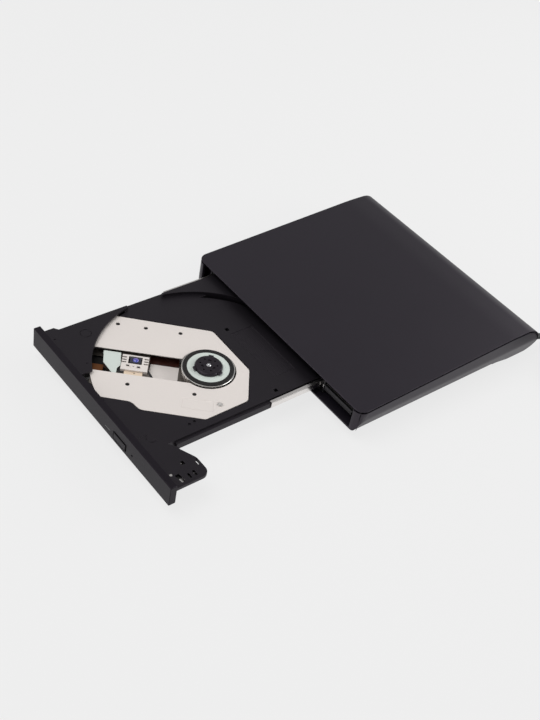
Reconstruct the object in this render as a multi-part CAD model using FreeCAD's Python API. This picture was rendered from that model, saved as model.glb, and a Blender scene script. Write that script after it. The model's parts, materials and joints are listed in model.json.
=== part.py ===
"""External optical disc drive with its tray open, in millimetres.

The origin is the middle of the enclosure on the surface it stands on. +X is to the right seen from the
front, +Y points to the back and +Z is up. Pieces of the tray are drawn in the tray's own coordinates (x from
its middle, y back from the bezel's face, z up from the bezel's lower edge) and then moved to their place.
Pieces of the disc mechanism are drawn about the turntable's axis, with x along the pickup's travel.
"""

import FreeCAD
import Part

import math
import os

V = FreeCAD.Vector
X_AXIS = V(1, 0, 0)
Y_AXIS = V(0, 1, 0)
Z_AXIS = V(0, 0, 1)

# Enclosure
BODY_HALF_WIDTH = 73.0
BODY_FRONT = -70.5
BODY_REAR = 70.5
FLOOR_UNDERSIDE = 5.45
FLOOR_TOP = 6.35
TOP_FRONT_HEIGHT = 20.35
TOP_CROWN = (46.0, 24.3)
TOP_REAR_HEIGHT = 23.6
ROLL_RADIUS = 14.0
COVER_THICKNESS = 1.4
LIP_THICKNESS = 0.45
LIP_REACH = 0.9
PARTING_GAP = 0.15
PARTING_HEIGHT = 9.0
HUMP_UNDERSIDE = 0.9
HUMP_INNER_FLOOR = 2.3
OPENING_HALF_WIDTH = 67.0
POSTS = ((67.3, -62.0), (64.5, 60.6))
POST_RADIUS = 2.6
SCREW_RADIUS = 0.95

# Tray drive: bezel, case and the travel of the tray
BEZEL_WIDTH = 128.0
BEZEL_HEIGHT = 12.35
BEZEL_DEPTH = 3.84
TRAY_OPEN_Y = -182.0
DRIVE_BASE_Z = 6.5
TRAY_REAR = 126.8
TRAY_LEFT = -59.2
TRAY_RIGHT = 36.1
CASE_HALF_WIDTH = 64.0
CASE_FRONT = -66.3
CASE_REAR = 57.0
CASE_SHEET = 0.4
CASE_LID_Z = 11.7
WING_X = 40.0
WING_FLOOR_Z = 5.4
LID_SCREWS = ((-60.0, 50.0), (60.0, 50.0), (-60.0, -60.0), (60.0, -60.0))

# Tray levels above the bezel's lower edge
SKIRT_BOTTOM_Z = 1.6
TRAY_FLOOR_BOTTOM_Z = 6.4
RECESS_FLOOR_Z = 8.0
RIM_TOP_Z = 10.0
EAR_TOP_Z = 9.4
EAR_BOTTOM_Z = 8.4
DECK_TOP_Z = 7.8
DECK_THICKNESS = 0.5

# Disc place and pickup travel
HUB_X = 2.0
HUB_Y = 66.3
RECESS_RADIUS = 60.66
GROOVE_INNER_RADIUS = 58.2
SLIDE_ANGLE = 49.75
PICKUP_RADIUS = 37.9
SLOT_HIGH = 5.1
SLOT_LOW = -12.5
MAIN_ROD_OFFSET = 15.0
SUB_ROD_OFFSET = -20.0
ROD_Z = 4.2
MAIN_ROD_RADIUS = 1.25
SUB_ROD_RADIUS = 1.0
SCREW_OFFSET = 20.5
LEAD_SCREW_RADIUS = 1.1
RUNNING_GAP = 0.05
DAMPER_PLACES = ((-26.0, 34.5), (5.0, 32.5), (24.0, -2.0))
DAMPER_RADIUS = 2.6
SHIELD_SCREWS = ((-55.0, 9.5), (32.0, 9.5), (-55.0, 121.0), (32.0, 121.0))
SOCKET_NOTCH_Y = 115.8

# Rails on the right; the left ones are the same turned round
RAIL_LENGTH = 96.0
RAIL_FRONT = -101.0
RAIL_WEB_OUTER = 38.65
RAIL_SHEET = 0.5
RAIL_LOW_Z = 3.6
RAIL_HIGH_Z = 7.4
RAIL_TIP = 36.8
GUIDE_OUTER = 39.9
GUIDE_WEB_INNER = 38.85
GUIDE_TIP = 37.6
GUIDE_FRONT = -65.5
GUIDE_REAR = 53.0
TONGUE_TIP = 37.9
LEFT_SHIFT = 23.7

# Turntable
ROTOR_RADIUS = 14.3
RING_RADIUS = 11.4
RUBBER_RADIUS = 13.7
HUB_RADIUS = 7.5
SHAFT_RADIUS = 1.2
PAWL_COUNT = 3
PAWL_TURN = -35.0
PAWL_REACH = 8.6

# Bezel controls
BUTTON_X = (14.8, 26.0)
BUTTON_Z = (1.9, 6.5)
BUTTON_GAP = 0.2
SLIT_X = (6.8, 11.6)
SLIT_Z = (3.3, 4.2)
EMERGENCY_HOLE = (31.5, 4.3)

# Cord
CORD_RADIUS = 1.8
CORD_EXIT = V(68.25, 73.5, 9.2)
COIL_CENTRE = V(104.0, 84.0, 0)
COIL_OUTER_RADIUS = 21.5
COIL_PITCH = 4.15
COIL_SPIRAL_TURNS = 1.25
CORD_ROUTE = [
    (68.25, 73.5, 9.2), (68.25, 76.3, 9.2), (68.8, 80.6, 7.4), (70.4, 86.2, 4.5), (74.8, 94.6, 1.8),
    (82.0, 101.5, 1.8), (91.5, 105.5, 1.8), (100.4, 105.5, 1.8),
]
TAIL_ROUTE = [
    (107.6, 105.5, 5.95), (115.0, 105.5, 5.95), (122.6, 102.4, 5.3), (128.4, 96.6, 4.6), (131.5, 89.0, 4.2),
    (131.5, 81.6, 4.2),
]
PLUG_X = 131.5
PLUG_Z = 4.2
PLUG_FRONT_Y = 81.6


def box(x, y, z):
    """A block given by its (low, high) pairs."""
    return Part.makeBox(x[1] - x[0], y[1] - y[0], z[1] - z[0], V(x[0], y[0], z[0]))


def upright(x, y, z, radius):
    """A vertical cylinder over the (low, high) pair z."""
    return Part.makeCylinder(radius, z[1] - z[0], V(x, y, z[0]))


def along_x(x, y, z, radius):
    """A cylinder along X over the (low, high) pair x."""
    return Part.makeCylinder(radius, x[1] - x[0], V(x[0], y, z), X_AXIS)


def along_y(x, y, z, radius):
    """A cylinder along Y over the (low, high) pair y."""
    return Part.makeCylinder(radius, y[1] - y[0], V(x, y[0], z), Y_AXIS)


def ring(x, y, z, outer, inner):
    """A vertical tube over the (low, high) pair z."""
    return upright(x, y, z, outer).cut(upright(x, y, z, inner))


def join(shapes):
    """One solid, or a group, of shapes that touch or overlap."""
    first, *others = shapes
    return first.fuse(others).removeSplitter() if others else first


def rounded_wire(points):
    """A closed outline in XY. A point's third value, where it has one, is the radius of its corner."""
    edges = []
    starts = []
    ends = []
    count = len(points)
    for index, point in enumerate(points):
        here = V(point[0], point[1], 0)
        back = V(*points[index - 1][:2], 0) - here
        ahead = V(*points[(index + 1) % count][:2], 0) - here
        radius = point[2] if len(point) > 2 else 0
        if not radius:
            starts.append(here)
            ends.append(here)
            continue
        opening = back.getAngle(ahead)
        back.normalize()
        ahead.normalize()
        reach = radius / math.tan(opening / 2)
        start = here + back * reach
        end = here + ahead * reach
        towards_centre = (back + ahead).normalize()
        middle = here + towards_centre * (radius / math.sin(opening / 2) - radius)
        edges.append(Part.Arc(start, middle, end).toShape())
        starts.append(start)
        ends.append(end)
    for index in range(count):
        start = ends[index]
        end = starts[(index + 1) % count]
        if start.distanceToPoint(end) > 1e-6:
            edges.append(Part.makeLine(start, end))
    return Part.Wire(Part.__sortEdges__(edges))


def plate(points, z):
    """A vertical prism over a rounded outline and the (low, high) pair z."""
    face = Part.Face(rounded_wire(points))
    face.translate(V(0, 0, z[0]))
    return face.extrude(V(0, 0, z[1] - z[0]))


def side_profile(points, half_width):
    """An outline of (y, z) points carried along X to both sides."""
    face = Part.Face(rounded_wire(points))
    solid = face.extrude(V(0, 0, 2 * half_width))
    solid.rotate(V(0, 0, 0), V(1, 1, 1), 120)
    solid.translate(V(-half_width, 0, 0))
    return solid


def front_profile(points, y):
    """An outline of (x, z) points carried along the (low, high) pair y."""
    face = Part.Face(rounded_wire(points))
    solid = face.extrude(V(0, 0, y[1] - y[0]))
    solid.rotate(V(0, 0, 0), X_AXIS, 90)
    solid.translate(V(0, y[1], 0))
    return solid


def to_tray(shape):
    """Moves a shape from the tray's coordinates to its place on the open tray."""
    moved = shape.copy()
    moved.translate(V(0, TRAY_OPEN_Y, DRIVE_BASE_Z))
    return moved


def to_case(shape):
    """Moves a shape drawn at its depth in the enclosure up to the drive's height."""
    moved = shape.copy()
    moved.translate(V(0, 0, DRIVE_BASE_Z))
    return moved


def to_mechanism(shape):
    """Turns a shape from the mechanism's coordinates into the tray's, still about the tray's origin."""
    moved = shape.copy()
    moved.rotate(V(0, 0, 0), Z_AXIS, SLIDE_ANGLE)
    moved.translate(V(HUB_X, HUB_Y, 0))
    return moved


def mirror_rail(shape):
    """The left counterpart of a rail piece on the right."""
    turned = shape.mirror(V(0, 0, 0), X_AXIS)
    turned.translate(V(-LEFT_SHIFT, 0, 0))
    return turned


# Enclosure


def outer_section(bottom, radius):
    """The width of the enclosure: upright sides that lean in below the middle, down to a level."""
    half_bottom = BODY_HALF_WIDTH - 0.351 * (14 - bottom)
    return front_profile(
        [
            (-BODY_HALF_WIDTH, 40),
            (-BODY_HALF_WIDTH, 14, 8),
            (-half_bottom, bottom, radius),
            (half_bottom, bottom, radius),
            (BODY_HALF_WIDTH, 14, 8),
            (BODY_HALF_WIDTH, 40),
        ],
        (BODY_FRONT - 5, BODY_REAR + 5),
    )


def outer_body():
    """The full outside of the enclosure, before it is divided and hollowed."""
    main_side = [
        (BODY_FRONT, FLOOR_UNDERSIDE),
        (50, FLOOR_UNDERSIDE),
        (50, 9.5),
        (BODY_REAR, 9.5),
        (BODY_REAR, TOP_REAR_HEIGHT, ROLL_RADIUS),
        (*TOP_CROWN, 150),
        (BODY_FRONT, TOP_FRONT_HEIGHT, 0.6),
    ]
    hump_side = [
        (37, 8.0),
        (37, FLOOR_UNDERSIDE),
        (40, FLOOR_UNDERSIDE, 12),
        (56.0, HUMP_UNDERSIDE, 8),
        (BODY_REAR, HUMP_UNDERSIDE, 8),
        (BODY_REAR, 10.0),
        (37, 10.0),
    ]
    main = side_profile(main_side, BODY_HALF_WIDTH).common(outer_section(FLOOR_UNDERSIDE, 2.0))
    hump = side_profile(hump_side, BODY_HALF_WIDTH).common(outer_section(HUMP_UNDERSIDE, 2.0))
    plan = plate(
        [
            (-BODY_HALF_WIDTH, BODY_FRONT, 5.5),
            (BODY_HALF_WIDTH, BODY_FRONT, 5.5),
            (BODY_HALF_WIDTH, BODY_REAR, 2.5),
            (-BODY_HALF_WIDTH, BODY_REAR, 2.5),
        ],
        (0, 40),
    )
    return main.fuse(hump).common(plan).removeSplitter()


def cover_zone(thickness, bottom):
    """The space above the plate's underside and behind its rolled rear."""
    crown_y, crown_z = TOP_CROWN
    front_slope = (crown_z - TOP_FRONT_HEIGHT) / (crown_y - BODY_FRONT)
    return side_profile(
        [
            (BODY_FRONT - 9, 60),
            (BODY_REAR + 9, 60),
            (BODY_REAR + 9, bottom),
            (BODY_REAR - thickness, bottom),
            (BODY_REAR - thickness, TOP_REAR_HEIGHT - 0.972 * thickness, ROLL_RADIUS - thickness),
            (crown_y, crown_z - thickness, 150 - thickness),
            (BODY_FRONT - 9, TOP_FRONT_HEIGHT - thickness - 9 * front_slope),
        ],
        BODY_HALF_WIDTH + 5,
    )


def inner_space():
    """The hollow of the enclosure between its side walls, down into the hump."""
    section = front_profile(
        [(-71.4, 40), (-71.4, 14, 6), (-68.6, 1.5), (68.6, 1.5), (71.4, 14, 6), (71.4, 40)],
        (BODY_FRONT + 1.6, BODY_REAR + 1),
    )
    length = side_profile(
        [
            (-90, 40),
            (-90, FLOOR_TOP),
            (40.5, FLOOR_TOP, 16),
            (56.8, HUMP_INNER_FLOOR, 10),
            (66.0, HUMP_INNER_FLOOR, 3),
            (67.5, PARTING_HEIGHT - 0.1),
            (BODY_REAR + 1, PARTING_HEIGHT - 0.1),
            (BODY_REAR + 1, 40),
        ],
        BODY_HALF_WIDTH,
    )
    return section.common(length)


def exit_hole():
    """The stepped round hole in the rear wall that holds the cord's strain relief."""
    hole = along_y(CORD_EXIT.x, (64, 80), CORD_EXIT.z, 2.35)
    return hole.fuse(along_y(CORD_EXIT.x, (64, 68.45), CORD_EXIT.z, 2.55))


def screw_places():
    """The four corners where the enclosure is screwed together."""
    return [(side * x, y) for x, y in POSTS for side in (-1, 1)]


def make_top_cover(outer):
    """The smooth plate that rolls down at the rear. Its rim is a thin lip over a groove in the sides."""
    lip = outer.common(cover_zone(LIP_THICKNESS, PARTING_HEIGHT))
    half = BODY_HALF_WIDTH - LIP_REACH
    front = BODY_FRONT + LIP_REACH
    plan = plate([(-half, front, 4.6), (half, front, 4.6), (half, 90), (-half, 90)], (0, 40))
    parts = [lip, outer.common(cover_zone(COVER_THICKNESS, PARTING_HEIGHT)).common(plan)]
    for x, y in screw_places():
        boss = upright(x, y, (13.0, 40), POST_RADIUS).common(outer)
        parts.append(boss.cut(upright(x, y, (12.0, 17.6), SCREW_RADIUS + RUNNING_GAP)))
    return join(parts).cut(exit_hole())


def make_bottom_cover(outer):
    """The lower shell with its floor, side walls, front posts, hump and screw posts."""
    shell = outer.cut(cover_zone(COVER_THICKNESS + PARTING_GAP, PARTING_HEIGHT - PARTING_GAP))
    shell = shell.cut(inner_space())
    opening = box((-OPENING_HALF_WIDTH, OPENING_HALF_WIDTH), (-80, -60), (FLOOR_TOP, 40))
    parts = [shell.cut(opening)]
    for x, y in screw_places():
        low = FLOOR_UNDERSIDE if y < 0 else HUMP_UNDERSIDE + 0.3
        parts.append(upright(x, y, (low, 12.9), POST_RADIUS).common(outer))
    for x in (-52, 52):
        parts.append(upright(x, -56, (2.2, 6.0), 5.0))
    for x in (-50, -15, 15, 50):
        parts.append(upright(x, 62.5, (2.0, 7.9), 1.8))
    solid = join(parts)
    for x, y in screw_places():
        low = -1
        head_top = 7.2 if y < 0 else 4.0
        solid = solid.cut(upright(x, y, (low, head_top), 1.9))
        solid = solid.cut(upright(x, y, (low, 14), SCREW_RADIUS + 0.1))
    return solid.cut(exit_hole())


def make_feet():
    """Two rubber discs under the front feet and two rubber strips under the hump."""
    front = [upright(x, -56, (0, 2.2), 4.2) for x in (-52, 52)]
    rear = [
        plate([(x - 9, 57.2, 2), (x + 9, 57.2, 2), (x + 9, 62.4, 2), (x - 9, 62.4, 2)], (0, HUMP_UNDERSIDE))
        for x in (-48, 48)
    ]
    return Part.makeCompound(front + rear)


def cross_screw(x, y, head_z, head_radius, head_height, shank_radius, shank_length, up=False):
    """A pan head screw with a cross recess. Its shank points down, or up where up is set."""
    turn = 1 if up else -1
    head = upright(0, 0, (0, head_height), head_radius)
    slot = min(0.5, head_radius * 0.35)
    reach = head_radius * 0.62
    depth = head_height * 0.55
    top = head_height
    for size_x, size_y in ((reach, slot / 2), (slot / 2, reach)):
        head = head.cut(box((-size_x, size_x), (-size_y, size_y), (top - depth, top + 1)))
    screw = head.fuse(upright(0, 0, (-shank_length, 0.01), shank_radius)).removeSplitter()
    if turn > 0:
        screw.rotate(V(0, 0, 0), X_AXIS, 180)
    screw.translate(V(x, y, head_z))
    return screw


def make_enclosure_screws():
    """Four screws that come up from below through the posts into the cover's bosses."""
    screws = []
    for x, y in screw_places():
        head_top = 7.2 if y < 0 else 4.0
        screws.append(cross_screw(x, y, head_top, 1.75, 1.2, SCREW_RADIUS, 16.5 - head_top, up=True))
    return Part.makeCompound(screws)


# Bridge electronics in the hump


def make_bridge_board():
    """The board in the hump that joins the drive's socket to the cord."""
    board = box((-54, 58), (59.4, 67.0), (7.9, 8.9))
    for x in (-50, -15, 15, 50):
        board = board.cut(upright(x, 62.5, (7, 10), 1.1))
    for index in range(4):
        board = board.cut(upright(56.4, 60.8 + 1.4 * index, (7, 10), 0.4))
    return board


def make_bridge_chips():
    """The bridge chip, a flash chip, a crystal can, regulators and capacitors on that board."""
    parts = [
        box((8, 14.5), (60.2, 66.2), (8.9, 10.1)),
        box((20, 24.2), (61, 66), (8.9, 10.4)),
        plate([(28, 61.4, 1.3), (33, 61.4, 1.3), (33, 64, 1.3), (28, 64, 1.3)], (8.9, 10.7)),
        box((36, 40.5), (61, 65), (8.9, 10.5)),
        upright(45, 63.5, (8.9, 12.4), 2.0),
        upright(-5, 63.5, (8.9, 12.4), 2.0),
    ]
    for index in range(6):
        parts.append(box((2 - index * 2.0, 3.2 - index * 2.0), (64.2, 65.0), (8.9, 9.5)))
    return Part.makeCompound(parts)


def make_bridge_plug():
    """The plug on the bridge board's front edge that goes into the drive's socket."""
    body = box((-46, -10), (57.6, 62.0), (8.9, 12.8))
    tongue = box((-44, -12), (53.2, 57.6), (9.6, 10.6))
    return join([body, tongue]).cut(upright(-15, 62.5, (8, 12), 1.2))


def make_bridge_screws():
    """Two screws that hold the bridge board on its bosses."""
    return Part.makeCompound([cross_screw(x, 62.5, 8.9, 1.7, 0.9, 0.9, 1.0) for x in (-50, 50)])


# Drive case


def make_case_bottom():
    """The steel tub, with a raised floor on the right, a folded front lip and a rear wall."""
    depth = (CASE_FRONT, CASE_REAR)
    riser_top = WING_FLOOR_Z + CASE_SHEET
    side_top = CASE_LID_Z
    parts = [
        box((-CASE_HALF_WIDTH, WING_X + CASE_SHEET), depth, (0, CASE_SHEET)),
        box((WING_X, WING_X + CASE_SHEET), depth, (0, riser_top)),
        box((WING_X, CASE_HALF_WIDTH), depth, (WING_FLOOR_Z, riser_top)),
        box((-CASE_HALF_WIDTH, -CASE_HALF_WIDTH + CASE_SHEET), depth, (0, side_top)),
        box((CASE_HALF_WIDTH - CASE_SHEET, CASE_HALF_WIDTH), depth, (WING_FLOOR_Z, side_top)),
        box((-CASE_HALF_WIDTH, CASE_HALF_WIDTH), (CASE_REAR - CASE_SHEET, CASE_REAR), (WING_FLOOR_Z, side_top)),
        box((-CASE_HALF_WIDTH, WING_X + CASE_SHEET), (CASE_REAR - CASE_SHEET, CASE_REAR), (0, riser_top)),
        box((WING_X + 1, CASE_HALF_WIDTH - 1), (CASE_FRONT, CASE_FRONT + 0.4), (WING_FLOOR_Z - 2.6, riser_top)),
    ]
    solid = join(parts)
    solid = solid.cut(box((-47, -9), (CASE_REAR - 2, CASE_REAR + 1), (1.0, 6.4)))
    for x in (-45, -15, 15):
        solid = solid.cut(upright(x, 20, (-1, 1), 2.0))
    for side in (-1, 1):
        for y in (-48, 42):
            hole = along_x((58, 66), y, 9.0, 1.1) if side > 0 else along_x((-66, -58), y, 9.0, 1.1)
            solid = solid.cut(hole)
    return to_case(solid)


def make_case_top():
    """The flat steel lid with narrow flanges outside the tub's walls and pressed stiffening ribs."""
    outer = CASE_HALF_WIDTH + 0.05 + CASE_SHEET
    depth = (CASE_FRONT, CASE_REAR + 0.05 + CASE_SHEET)
    parts = [box((-outer, outer), depth, (CASE_LID_Z, CASE_LID_Z + 0.5))]
    for side in (-1, 1):
        low, high = sorted((side * (outer - CASE_SHEET), side * outer))
        parts.append(box((low, high), depth, (CASE_LID_Z - 1.6, CASE_LID_Z + 0.1)))
    parts.append(box((-outer, outer), (depth[1] - CASE_SHEET, depth[1]), (CASE_LID_Z - 1.6, CASE_LID_Z + 0.1)))
    lid = join(parts)
    for x, y in LID_SCREWS:
        lid = lid.cut(upright(x, y, (CASE_LID_Z - 1, CASE_LID_Z + 1), 0.85))
    for x in (-40, 0, 40):
        lid = lid.cut(plate([(x - 3, -45, 2.9), (x + 3, -45, 2.9), (x + 3, 40, 2.9), (x - 3, 40, 2.9)],
                            (CASE_LID_Z + 0.3, CASE_LID_Z + 1)))
    return to_case(lid)


def make_case_screws():
    """Four small flat screws that join the lid and the tub at the rear corners and the sides."""
    screws = [cross_screw(x, y, CASE_LID_Z + 0.5, 1.5, 0.35, 0.8, 0.5) for x, y in LID_SCREWS]
    return to_case(Part.makeCompound(screws))


def make_rear_board():
    """The small board at the back of the tub that carries the drive's socket."""
    return to_case(box((-52, -4), (46.0, 55.8), (0.6, 1.3)))


def make_drive_socket():
    """The drive's rear socket, open to the back, with a slot for the plug's tongue."""
    body = box((-46.6, -9.4), (48.0, 57.4), (1.3, 6.1))
    body = body.cut(box((-45, -11), (51.5, 58), (2.6, 4.6)))
    return to_case(body)


def make_latch_pin():
    """The upright pin on the raised floor that the tray's latch hooks."""
    foot = upright(57.5, -60.6, (5.8, 6.0), 1.8)
    pin = upright(57.5, -60.6, (5.8, 7.1), 0.9)
    return to_case(join([foot, pin]))


def make_flex_cable():
    """The rolling loop of the flat cable between the tray and the rear board."""
    front = -64.0
    rear = -10.2
    low = box((-34, -14), (front + 0.2, rear), (0.48, 0.58))
    high = box((-34, -14), (front + 0.2, rear), (0.82, 0.92))
    bend = along_x((-34, -14), front + 0.2, 0.70, 0.22).cut(along_x((-35, -13), front + 0.2, 0.70, 0.12))
    bend = bend.cut(box((-35, -13), (front + 0.2, front + 2), (0, 2)))
    return to_case(join([low, high, bend]))


# Rails


def rail_right():
    """A thin steel channel, open towards the tray, with a stop tab at the rear."""
    depth = (RAIL_FRONT, RAIL_FRONT + RAIL_LENGTH)
    web_inner = RAIL_WEB_OUTER - RAIL_SHEET
    flange = 0.4
    parts = [
        box((web_inner, RAIL_WEB_OUTER), depth, (RAIL_LOW_Z, RAIL_HIGH_Z)),
        box((RAIL_TIP, RAIL_WEB_OUTER), depth, (RAIL_LOW_Z, RAIL_LOW_Z + flange)),
        box((RAIL_TIP, RAIL_WEB_OUTER), depth, (RAIL_HIGH_Z - flange, RAIL_HIGH_Z)),
    ]
    rail = join(parts)
    for y in (RAIL_FRONT + 6, depth[1] - 6):
        rail = rail.cut(box((web_inner - 1, RAIL_WEB_OUTER + 1), (y - 2.0, y + 2.0), (5.0, 6.0)))
    return to_case(rail)


def guide_right():
    """The plastic channel in the case that the rail runs in."""
    depth = (GUIDE_FRONT, GUIDE_REAR)
    parts = [
        box((GUIDE_WEB_INNER, GUIDE_OUTER), depth, (2.7, 8.3)),
        box((GUIDE_TIP, GUIDE_OUTER), depth, (2.7, 3.4)),
        box((GUIDE_TIP, GUIDE_OUTER), depth, (7.6, 8.3)),
    ]
    foot = [box((GUIDE_WEB_INNER, GUIDE_OUTER), (y - 4, y + 4), (CASE_SHEET, 2.8)) for y in (-52, 0, 46)]
    return to_case(join(parts + foot))


# Tray


def deck_corners():
    """The corners of the silver deck's outline, each with its radius."""
    return [
        (-11.0, 2.7),
        (2.6, 17.8, 5),
        (9.6, 18.6, 5),
        (31.6, 43.8, 3),
        (31.4, 70.8, 3.5),
        (13.3, 85.2, 3),
        (-21.0, 85.9, 4),
        (-60.4, 41.8),
        (-52.0, 4.0),
    ]


def deck_area(grow, radius, z):
    """The deck's outline, grown sideways, inside a circle about the turntable."""
    wire = rounded_wire(deck_corners())
    outline = wire.makeOffset2D(grow) if grow else wire
    face = Part.Face(outline)
    face.translate(V(0, 0, z[0]))
    prism = face.extrude(V(0, 0, z[1] - z[0]))
    return prism.common(upright(HUB_X, HUB_Y, z, radius))


def ear_outline(inset):
    """The front right ear that reaches out over the case's raised floor."""
    return [
        (30.0, BEZEL_DEPTH + inset),
        (63.1 - inset, BEZEL_DEPTH + inset),
        (63.1 - inset, 24.0 - inset, 4.2),
        (51.4, 24.0 - inset, 6.0),
        (43.0, 20.0 - inset, 2.0),
        (30.0, 19.8 - inset),
    ]


def ear_holes():
    """The square hole, the latch window, slots and the pivot's hole in the ear."""
    tall = (0, 20)
    return [
        box((49.9, 52.0), (14.8, 16.8), tall),
        box((52.2, 55.6), (21.9, 23.4), tall),
        plate([(56.0, 7.9, 0.3), (61.2, 8.8, 0.3), (61.0, 11.0, 0.3), (55.8, 10.2, 0.3)], tall),
        box((57.8, 60.9), (13.7, 14.8), tall),
        box((57.4, 60.8), (16.8, 18.1), tall),
        upright(54.7, 6.6, tall, 0.75 + RUNNING_GAP),
    ]


def make_tray_frame():
    """The black tray: floor, skirts, rims round the disc recess, left wing, ear and side tongues."""
    y = (BEZEL_DEPTH, TRAY_REAR)
    floor = box((TRAY_LEFT, TRAY_RIGHT), y, (TRAY_FLOOR_BOTTOM_Z, RECESS_FLOOR_Z))
    rim = box((TRAY_LEFT, TRAY_RIGHT), y, (RECESS_FLOOR_Z, RIM_TOP_Z))
    rim = rim.cut(upright(HUB_X, HUB_Y, (0, 20), RECESS_RADIUS))
    rim = rim.cut(box((-24, 90), (4.8, 20.0), (0, 20)))
    rim = rim.cut(box((TRAY_LEFT - 1, -50), (54.6, 77.6), (0, 20)))
    skirts = [
        box((TRAY_LEFT, TRAY_LEFT + 1.2), y, (SKIRT_BOTTOM_Z, RECESS_FLOOR_Z)),
        box((TRAY_RIGHT - 1.2, TRAY_RIGHT), y, (SKIRT_BOTTOM_Z, RECESS_FLOOR_Z)),
        box((TRAY_LEFT, TRAY_RIGHT), (BEZEL_DEPTH, 5.3), (SKIRT_BOTTOM_Z, RECESS_FLOOR_Z)),
        box((TRAY_LEFT, TRAY_RIGHT), (TRAY_REAR - 1.2, TRAY_REAR), (SKIRT_BOTTOM_Z, RECESS_FLOOR_Z)),
    ]
    groove_wall = ring(HUB_X, HUB_Y, (5.0, RECESS_FLOOR_Z), RECESS_RADIUS + 1.0, GROOVE_INNER_RADIUS - 1.0)
    groove_wall = groove_wall.common(box((-54, TRAY_RIGHT), (90, TRAY_REAR), (0, 20)))
    front_deck = plate(ear_outline(0), (EAR_BOTTOM_Z, EAR_TOP_Z))
    border = plate(ear_outline(0), (EAR_BOTTOM_Z - 1.0, EAR_TOP_Z))
    border = border.cut(plate(ear_outline(1.0), (0, EAR_BOTTOM_Z)))
    border = border.cut(box((0, TRAY_RIGHT), (0, 40), (0, EAR_BOTTOM_Z)))
    ear = join([front_deck, border]).cut(upright(HUB_X, HUB_Y, (0, 20), RECESS_RADIUS))
    rib = box((26.6, TRAY_RIGHT), (BEZEL_DEPTH, 5.3), (RECESS_FLOOR_Z, EAR_TOP_Z))
    link = box((27.0, TRAY_RIGHT), (BEZEL_DEPTH, 20.0), (RECESS_FLOOR_Z, EAR_TOP_Z))
    link = link.cut(upright(HUB_X, HUB_Y, (0, 20), RECESS_RADIUS))
    tongues = [
        box((TRAY_RIGHT, TONGUE_TIP), (22.0, TRAY_REAR), (4.2, 6.8)),
        box((-TONGUE_TIP - LEFT_SHIFT, TRAY_LEFT), (16.0, TRAY_REAR), (4.2, 6.8)),
        box((TRAY_RIGHT, 37.0), (20.6, TRAY_REAR), (SKIRT_BOTTOM_Z, 3.4)),
        plate([(-61.6, BEZEL_DEPTH), (TRAY_LEFT, BEZEL_DEPTH), (TRAY_LEFT, 12.3), (-61.5, 10.5)], (8.6, RIM_TOP_Z)),
    ]
    bosses = [upright(x, y, (1.5, RECESS_FLOOR_Z), 1.6) for x, y in SHIELD_SCREWS]
    solid = join([floor, rim, *skirts, groove_wall, ear, rib, link, *tongues])
    wing_pocket = box((TRAY_LEFT + 1.2, 0), (5.3, 52), (0, 8.8))
    wing_pocket = wing_pocket.cut(upright(HUB_X, HUB_Y, (0, 20), RECESS_RADIUS - 0.4))
    solid = solid.cut(wing_pocket)
    solid = solid.cut(deck_area(0.35, 70, (0, 8.8)).common(upright(HUB_X, HUB_Y, (0, 8.8), 62.4)))
    groove = ring(HUB_X, HUB_Y, (5.8, 20), RECESS_RADIUS, GROOVE_INNER_RADIUS)
    solid = solid.cut(groove.common(box((-48, TRAY_RIGHT - 1.2), (95, TRAY_REAR - 1.2), (0, 20))))
    solid = solid.cut(box((-54, -2), (SOCKET_NOTCH_Y, TRAY_REAR + 1), (0, TRAY_FLOOR_BOTTOM_Z - 0.1)))
    bosses.append(upright(*SHIELD_SCREWS[0], (1.5, RIM_TOP_Z - 1), 1.6))
    solid = join([solid, *bosses])
    for x, y in SHIELD_SCREWS:
        solid = solid.cut(upright(x, y, (0, 4), 0.75))
    for a, b in DAMPER_PLACES:
        solid = solid.cut(to_mechanism(upright(a, b, (0, 7.3), 1.05)))
    return to_tray(cut_tray_marks(solid))


def cut_tray_marks(solid):
    """The small holes and shallow marks on the tray's floor, wing and ear."""
    for hole in ear_holes():
        solid = solid.cut(hole)
    for x, y in ((-18.6, 93.7), (32.4, 88.2)):
        solid = solid.cut(box((x - 1.1, x + 1.1), (y - 1.0, y + 1.0), (0, 20)))
    for x, y in ((30.4, 34.5), (30.0, 37.8)):
        solid = solid.cut(upright(x, y, (7.2, 20), 0.75))
    for x, y in ((-53.1, 6.4), (-29.8, 11.7)):
        solid = solid.cut(upright(x, y, (9.6, 20), 0.6))
    mark = ring(-50, 23.3, (RIM_TOP_Z - 0.15, 20), 3.1, 2.8)
    boss_mark = ring(30, 12.0, (EAR_TOP_Z - 0.15, 20), 3.0, 2.6)
    panel = box((-14.7, 24.0), (93.3, 107.6), (RECESS_FLOOR_Z - 0.2, 20))
    stem = box((18.3, 22.7), (3, 6), (2.2, 5.8))
    light = box((8.0, 10.4), (3, 6), (2.9, 4.6))
    eject_wire = along_y(EMERGENCY_HOLE[0], (3, 6), EMERGENCY_HOLE[1], 0.7)
    for cutter in (mark, boss_mark, panel, stem, light, eject_wire):
        solid = solid.cut(cutter)
    return solid


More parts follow.
